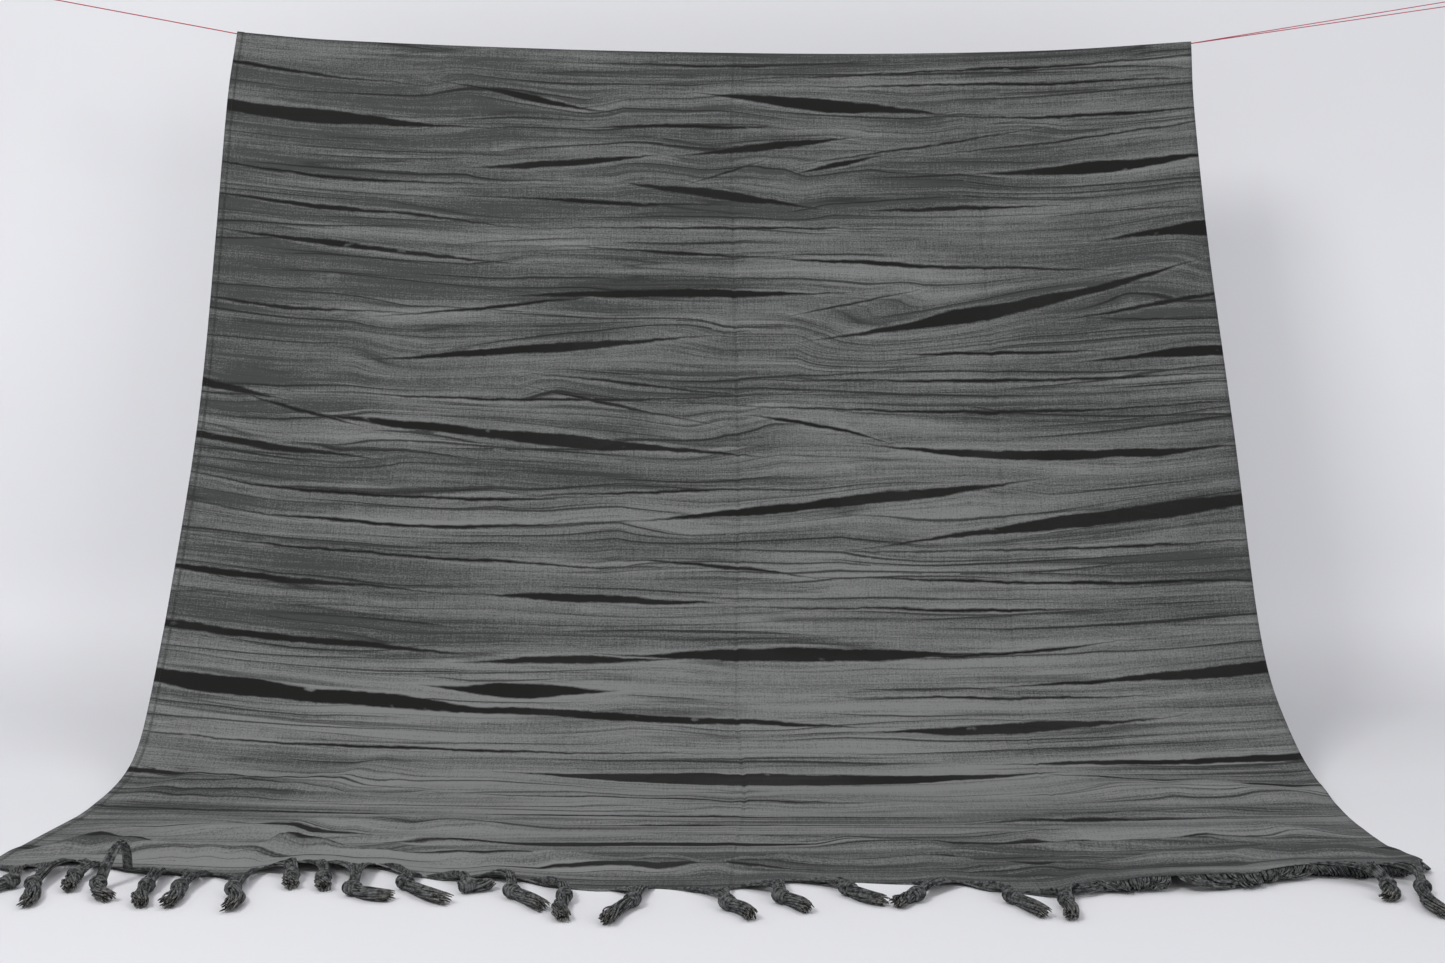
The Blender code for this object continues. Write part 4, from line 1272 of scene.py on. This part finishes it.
def fan_yarns(draw, row, knot, tucked):
    """Warp yarns gathered from the hem into a dense neck and on into the knot."""
    root_x = row[0]
    rise = row[7]
    count, widening = fan_kind(row, tucked)
    width = row[1] * widening
    neck_width = LOOPED_NECK_WIDTH if rise > LOOPED_RISE else width * NECK_WIDTH_SHARE + NECK_LEAST_WIDTH
    half = CLOTH_WIDTH / 2 - HEM_END_INSET
    strands = []
    for index in range(count):
        lane = index / (count - 1) - 0.5
        across = root_x + lane * width + draw.uniform(-FAN_ROOT_SCATTER, FAN_ROOT_SCATTER)
        start = hem_root(min(max(across, -half), half))
        back = -KNOT_LANE_DEPTH if tucked else KNOT_LANE_DEPTH
        level = draw.uniform(-KNOT_LANE_RISE, KNOT_LANE_RISE)
        end = knot + Vector((lane * KNOT_LANE_WIDTH, back, level))
        middle = start.lerp(end, NECK_SHARE)
        middle.x = knot.x * NECK_SHARE + root_x * (1 - NECK_SHARE) + lane * neck_width
        middle.z += rise + draw.uniform(0.0, NECK_LOFT)
        if tucked:
            front = start.y - TUCKED_FAN_REACH - draw.uniform(-0.003, 0.004)
            middle = Vector((start.x * 0.75 + end.x * 0.25, front, LOCK_SIZE * draw.uniform(0.5, 1.6)))
        points = bowed(start, middle, end, FAN_STEPS)
        for point in points:
            point.z = max(point.z, FAN_YARN_RADIUS * 1.1)
        radius = FAN_YARN_RADIUS * draw.uniform(*FAN_YARN_SPREAD)
        strands.append((points, [radius * 0.6] + [radius] * (len(points) - 1)))
    if root_x > WIDE_FAN_FROM:
        strands += skirt_yarns(draw, root_x, half)
    return strands


def skirt_yarns(draw, root_x, half):
    """Loose warp yarns that hang from the lifted corner of the hem down to the floor."""
    strands = []
    for index in range(SKIRT_YARNS):
        lane = index / (SKIRT_YARNS - 1) - 0.5
        across = min(root_x + lane * SKIRT_WIDTH + draw.uniform(-0.0012, 0.0012), half)
        start = hem_root(across)
        low = Vector((across + draw.uniform(-0.004, 0.004), start.y + draw.uniform(*SKIRT_TUCK),
                      draw.uniform(*SKIRT_END_HEIGHT)))
        middle = start.lerp(low, 0.5)
        middle.y -= SKIRT_BELLY + SKIRT_RUFFLE * math.sin(across * SKIRT_RUFFLES)
        radius = FAN_YARN_RADIUS * draw.uniform(*FAN_YARN_SPREAD)
        points = bowed(start, middle, low, SKIRT_STEPS)
        strands.append((points, [radius] * len(points)))
    return strands


def knot_wraps(knot, heading, size):
    """Bundle of yarns wound round the knot."""
    length, width, height = size
    side = Vector((-heading.y, heading.x, 0))
    strands = []
    for index in range(WRAP_YARNS):
        points = []
        for step in range(WRAP_STEPS + 1):
            share = step / WRAP_STEPS
            slanted = (share - 0.5) * length * WRAP_SLANT
            along = slanted + (index / (WRAP_YARNS - 1) - 0.5) * length * WRAP_RUN
            barrel = math.sqrt(max(1 - (along / (length * WRAP_BARREL)) ** 2, 0.05))
            angle = 2 * math.pi * WRAP_TURNS * share + WRAP_START
            point = knot + heading * along
            point += side * ((width - WRAP_YARN_RADIUS) * barrel * math.cos(angle))
            point.z += (height - WRAP_YARN_RADIUS) * barrel * math.sin(angle)
            point.z = max(point.z, WRAP_YARN_RADIUS)
            points.append(point)
        radii = [WRAP_YARN_RADIUS] * len(points)
        radii[0] *= 0.5
        radii[-1] *= 0.5
        strands.append((points, radii))
    return strands


def brush_yarns(draw, knot, tip, bend, tucked, count):
    """Cut yarns of the brush, lying from the knot to the tip."""
    heading = Vector((tip.x - knot.x, tip.y - knot.y, 0))
    length = heading.length
    heading.normalize()
    side = Vector((heading.y, -heading.x, 0))
    depth = LOCK_SIZE / 2 if tucked else LOCK_SIZE * 1.07
    strands = []
    for index in range(count // 2 if tucked else count):
        angle = index * GOLDEN_ANGLE
        radius = math.sqrt((index + 0.5) / count)
        reach = draw.uniform(*BRUSH_REACH)
        phase = draw.uniform(0, 2 * math.pi)
        wave = draw.uniform(*BRUSH_WAVE)
        points = []
        for step in range(BRUSH_STEPS + 1):
            share = step / BRUSH_STEPS
            along = share * reach
            turned = angle + BRUSH_TWIST * share
            lane = radius * math.cos(turned)
            level = radius * math.sin(turned)
            belly = BRUSH_NECK + BRUSH_BELLY * math.sin(math.pi * min(share * 0.9, 1.0))
            spread = BRUSH_HALF_WIDTH * (belly + BRUSH_FLARE * share ** 2)
            sway = wave * math.sin(phase + share * BRUSH_WAVES) * min(share * 3, 1)
            point = knot + heading * (length * along)
            point += side * (lane * spread + bend * math.sin(math.pi * along) + sway)
            lower = depth * (1 - BRUSH_THINNING * share)
            point.z = lower + level * (lower - BRUSH_YARN_RADIUS) + sway * 0.6
            point.z = max(point.z, BRUSH_YARN_RADIUS)
            points.append(point)
        thick = BRUSH_YARN_RADIUS * draw.uniform(0.75, 1.1)
        radii = [thick * draw.uniform(0.92, 1.08) for point in points]
        radii[-1] *= 0.5
        strands.append((points, radii))
    return strands


def make_tassel(number, row, material, count):
    """One knotted tassel of yarns, in the place of its solid."""
    draw = random.Random(TASSEL_SEED + number)
    knot_x, knot_y, tip_x, tip_y, bend = row[2:7]
    tucked = knot_y > hem_root(knot_x).y
    length, width, height = TASSEL_KNOT_SIZE
    if tucked:
        height = TUCKED_KNOT_HEIGHT
    knot = Vector((knot_x, knot_y, height + GAP))
    tip = Vector((tip_x, tip_y, height))
    heading = Vector((tip_x - knot_x, tip_y - knot_y, 0)).normalized()
    strands = fan_yarns(draw, row, knot, tucked)
    strands += knot_wraps(knot, heading, (length, width, height))
    strands += brush_yarns(draw, knot, tip, bend, tucked, count)
    name = TASSEL_NAME % number
    mesh = strands_mesh(name, strands, 0)
    turn = Matrix.Rotation(math.atan2(heading.y, heading.x), 4, "Z")
    shares = zip((length, width, height), KNOT_CORE_SHARES)
    core = Matrix.Diagonal((*[size * share for size, share in shares], 1))
    tidy_strands(mesh, Matrix.Translation(knot) @ turn @ core)
    ends = mesh.attributes.new("cut_end", "FLOAT", "POINT")
    reach = (Vector((tip_x, tip_y, 0)) - Vector((knot_x, knot_y, 0))).length
    for vert, value in zip(mesh.vertices, ends.data):
        value.value = min(max((vert.co - knot).dot(heading) / reach, 0.0), 1.0)
    return link_mesh(name, mesh, material)


def eye_wire_x(side):
    """Place across of the eye's wire where the line goes round it."""
    return side * (WALL_X - EYE_PLATE_THICKNESS - EYE_STEM_LENGTH - 2 * EYE_RING_RADIUS)


def eye_wire(side):
    """Middle of the wire of the left (-1) or right (1) eye where the line goes round it."""
    across = eye_wire_x(side)
    return Vector((across, LINE_Y, line_height(across)))


def round_wire(wire, degrees):
    """Middle of the string on its way round an eye's wire."""
    angle = math.radians(degrees)
    return wire + Vector((STRING_REACH * math.cos(angle), 0, STRING_REACH * math.sin(angle)))


def line_route():
    """Points of the doubled string: out along the front lane, round the right eye, and back."""
    half = CLOTH_WIDTH / 2
    first = -half + SIDE_HEM_WIDTH + SIDE_HEM_THICKNESS
    knot_x = eye_wire_x(-1) + KNOT_DISTANCE
    stations = [knot_x + KNOT_RADIUS + GAP] + LINE_LEFT_STATIONS + [-half]
    stations += [first + (half - first) * step / LINE_STEPS for step in range(LINE_STEPS + 1)]
    stations += LINE_RIGHT_STATIONS
    wire = eye_wire(1)

    def lane_point(across, side):
        parting = ease((across - half - PARTING_START) / (wire.x - half - PARTING_START))
        spread = side * STRING_REACH * max(across - half, 0) / (wire.x - half)
        lane = side * STRAND_SPACING / 2 * (1 - parting)
        return Vector((across, LINE_Y + lane, line_height(across) - spread))

    route = [lane_point(across, -1) for across in stations]
    route += [round_wire(wire, degrees) for degrees in range(90, -91, -30)]
    route += [lane_point(across, 1) for across in reversed(stations)]
    return route


def make_line(settings, material):
    """The doubled string as one open curve."""
    route = line_route()
    data = bpy.data.curves.new("red_line", "CURVE")
    data.dimensions = "3D"
    data.bevel_depth = settings.string_radius
    data.bevel_resolution = 2
    data.use_fill_caps = True
    data.materials.append(material)
    spline = data.splines.new("POLY")
    spline.points.add(len(route) - 1)
    for point, place in zip(spline.points, route):
        point.co = (*place, 1.0)
    line = bpy.data.objects.new("red_line", data)
    bpy.context.scene.collection.objects.link(line)
    length = sum((after - before).length for before, after in zip(route, route[1:]))
    return line, route[0], length


def make_string_knot(material):
    """Loop round the left eye, three turns round the strands and two short ends."""
    wire = eye_wire(-1)
    knot = Vector((wire.x + KNOT_DISTANCE, LINE_Y, line_height(wire.x + KNOT_DISTANCE)))
    lower_end = Vector((KNOT_LOOP_END.x, 0, -KNOT_LOOP_END.z))
    loop = [knot + KNOT_LOOP_END]
    loop += [round_wire(wire, degrees) for degrees in range(80, 281, 20)]
    loop.append(knot + lower_end)
    wraps = []
    for step in range(KNOT_STEPS + 1):
        share = step / KNOT_STEPS
        angle = 2 * math.pi * KNOT_TURNS * share
        wraps.append(knot + Vector((-KNOT_HALF_RUN + 2 * KNOT_HALF_RUN * share,
                                    KNOT_TURN_WIDTH * math.cos(angle),
                                    KNOT_TURN_HEIGHT * math.sin(angle))))
    ends = [[knot + Vector((side * x, side * y, z)) for x, y, z in KNOT_END] for side in (-1, 1)]
    strands = [(points, [STRING_RADIUS] * len(points)) for points in [loop, wraps] + ends]
    mesh = strands_mesh("string_knot", strands, 2)
    tidy_strands(mesh)
    return link_mesh("string_knot", mesh, material)


def area_light(name, place, target, size, power):
    """Soft rectangular light that faces its target."""
    data = bpy.data.lights.new(name, "AREA")
    data.shape = "RECTANGLE"
    data.size = size[0]
    data.size_y = size[1]
    data.energy = power
    lamp = bpy.data.objects.new(name, data)
    lamp.location = place
    aim = Vector(target) - Vector(place)
    lamp.rotation_euler = aim.to_track_quat("-Z", "Y").to_euler()
    bpy.context.scene.collection.objects.link(lamp)


def make_camera(scene):
    """Camera at the photograph's viewing angle."""
    data = bpy.data.cameras.new("camera")
    data.sensor_width = SENSOR_WIDTH
    data.lens = FOCAL_PIXELS / PHOTO_WIDTH * SENSOR_WIDTH
    camera = bpy.data.objects.new("camera", data)
    camera.location = CAMERA_PLACE
    camera.rotation_euler = (math.radians(90 - CAMERA_DOWN_DEGREES), 0, 0)
    scene.collection.objects.link(camera)
    scene.camera = camera


def make_floor(settings):
    """Wide flat floor."""
    bm = bmesh.new()
    bmesh.ops.create_grid(bm, x_segments=8, y_segments=8, size=FLOOR_HALF)
    mesh = bpy.data.meshes.new("floor")
    bm.to_mesh(mesh)
    bm.free()
    return link_mesh("floor", mesh, pale_stage(settings, "pale_floor"))


def make_backdrop(settings):
    """Wall that meets the floor in a cove, seen from its front alone."""
    cove_y = BACKDROP_Y - BACKDROP_COVE
    profile = [Vector((-BACKDROP_HALF, cove_y - BACKDROP_FOOT, BACKDROP_LIFT))]
    for step in range(COVE_STEPS + 1):
        angle = math.pi / 2 * step / COVE_STEPS
        profile.append(Vector((-BACKDROP_HALF, cove_y + BACKDROP_COVE * math.sin(angle),
                               BACKDROP_LIFT + BACKDROP_COVE * (1 - math.cos(angle)))))
    profile.append(Vector((-BACKDROP_HALF, BACKDROP_Y, BACKDROP_TOP)))
    bm = bmesh.new()
    verts = [bm.verts.new(point) for point in profile]
    edges = [bm.edges.new(pair) for pair in zip(verts, verts[1:])]
    swept = bmesh.ops.extrude_edge_only(bm, edges=edges)["geom"]
    bmesh.ops.translate(bm, vec=(2 * BACKDROP_HALF, 0, 0),
                        verts=[part for part in swept if isinstance(part, bmesh.types.BMVert)])
    bm.normal_update()
    # The wall's front faces the camera, towards -Y
    if sum(face.normal.y for face in bm.faces) > 0:
        bmesh.ops.reverse_faces(bm, faces=bm.faces)
    mesh = bpy.data.meshes.new("backdrop")
    bm.to_mesh(mesh)
    bm.free()
    mesh.shade_smooth()
    return link_mesh("backdrop", mesh, pale_stage(settings, "pale_backdrop", clear_back=True))


def light_scene(scene):
    """Soft light all round and three soft lights, shown in plain colours."""
    world = bpy.data.worlds.new("studio")
    world.use_nodes = True
    background = world.node_tree.nodes["Background"]
    background.inputs["Color"].default_value = AIR_COLOUR
    background.inputs["Strength"].default_value = AIR_STRENGTH
    scene.world = world
    for light in LIGHTS:
        area_light(*light)
    scene.view_settings.view_transform = "Standard"


class ThrowOperator(bpy.types.Operator):
    """Shared settings of the operators that build the throw."""

    bl_options = {"REGISTER", "UNDO"}

    @property
    def settings(self):
        return bpy.context.scene.throw_settings


class THROW_OT_stage(ThrowOperator):
    """Set up the pale floor and backdrop, the soft light and the camera"""

    bl_idname = "throw.stage"
    bl_label = "Stage, light and camera"

    def execute(self, context):
        make_camera(context.scene)
        floor = make_floor(self.settings)
        backdrop = make_backdrop(self.settings)
        light_scene(context.scene)
        return {"FINISHED"}


class THROW_OT_string(ThrowOperator):
    """Build the doubled red string and its knot, and finish the wall eyes"""

    bl_idname = "throw.string"
    bl_label = "String, knot and wall eyes"

    def execute(self, context):
        material = red_string(self.settings)
        knot = make_string_knot(material)
        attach(knot, "root")
        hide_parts("line_knot")
        line, exit_point, length = make_line(self.settings, material)
        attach(line, "root")
        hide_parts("line")
        steel = zinc_steel()
        for name in ("left_eye", "right_eye"):
            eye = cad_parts[name]
            eye.data.materials.clear()
            eye.data.materials.append(steel)
        return {"FINISHED"}


class THROW_OT_tassels(ThrowOperator):
    """Build the knotted tassels along the front hem"""

    bl_idname = "throw.tassels"
    bl_label = "Tassels"

    def execute(self, context):
        material = tassel_yarn(self.settings)
        for number, row in enumerate(TASSELS, start=1):
            tassel = make_tassel(number, row, material, self.settings.brush_yarns)
            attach(tassel, "root")
            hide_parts("tassel_%02d" % number)
        return {"FINISHED"}


class THROW_OT_cloth(ThrowOperator):
    """Build the dyed cotton sheet with its stitched side hem"""

    bl_idname = "throw.cloth"
    bl_label = "Cloth and side seam"

    def execute(self, context):
        seam = make_seam(self.settings)
        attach(seam, "root")
        cloth = make_sheet(self.settings)
        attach(cloth, "root")
        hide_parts("throw")
        return {"FINISHED"}


class THROW_PT_panel(bpy.types.Panel):
    """Sizes, colours and building steps of the throw."""

    bl_label = "Throw"
    bl_idname = "THROW_PT_panel"
    bl_space_type = "VIEW_3D"
    bl_region_type = "UI"
    bl_category = "Throw"

    def draw(self, context):
        settings = context.scene.throw_settings
        for name in settings.__annotations__:
            self.layout.prop(settings, name)
        for step in STEPS:
            self.layout.operator(step.bl_idname)


STEPS = (THROW_OT_stage, THROW_OT_string, THROW_OT_tassels, THROW_OT_cloth)
CLASSES = (ThrowSettings, THROW_PT_panel) + STEPS


def register():
    for item in CLASSES:
        bpy.utils.register_class(item)
    bpy.types.Scene.throw_settings = PointerProperty(type=ThrowSettings)


def unregister():
    del bpy.types.Scene.throw_settings
    for item in reversed(CLASSES):
        bpy.utils.unregister_class(item)


def main():
    register()
    bpy.ops.throw.stage()
    bpy.ops.throw.string()
    bpy.ops.throw.tassels()
    bpy.ops.throw.cloth()


if __name__ == "__main__":
    main()
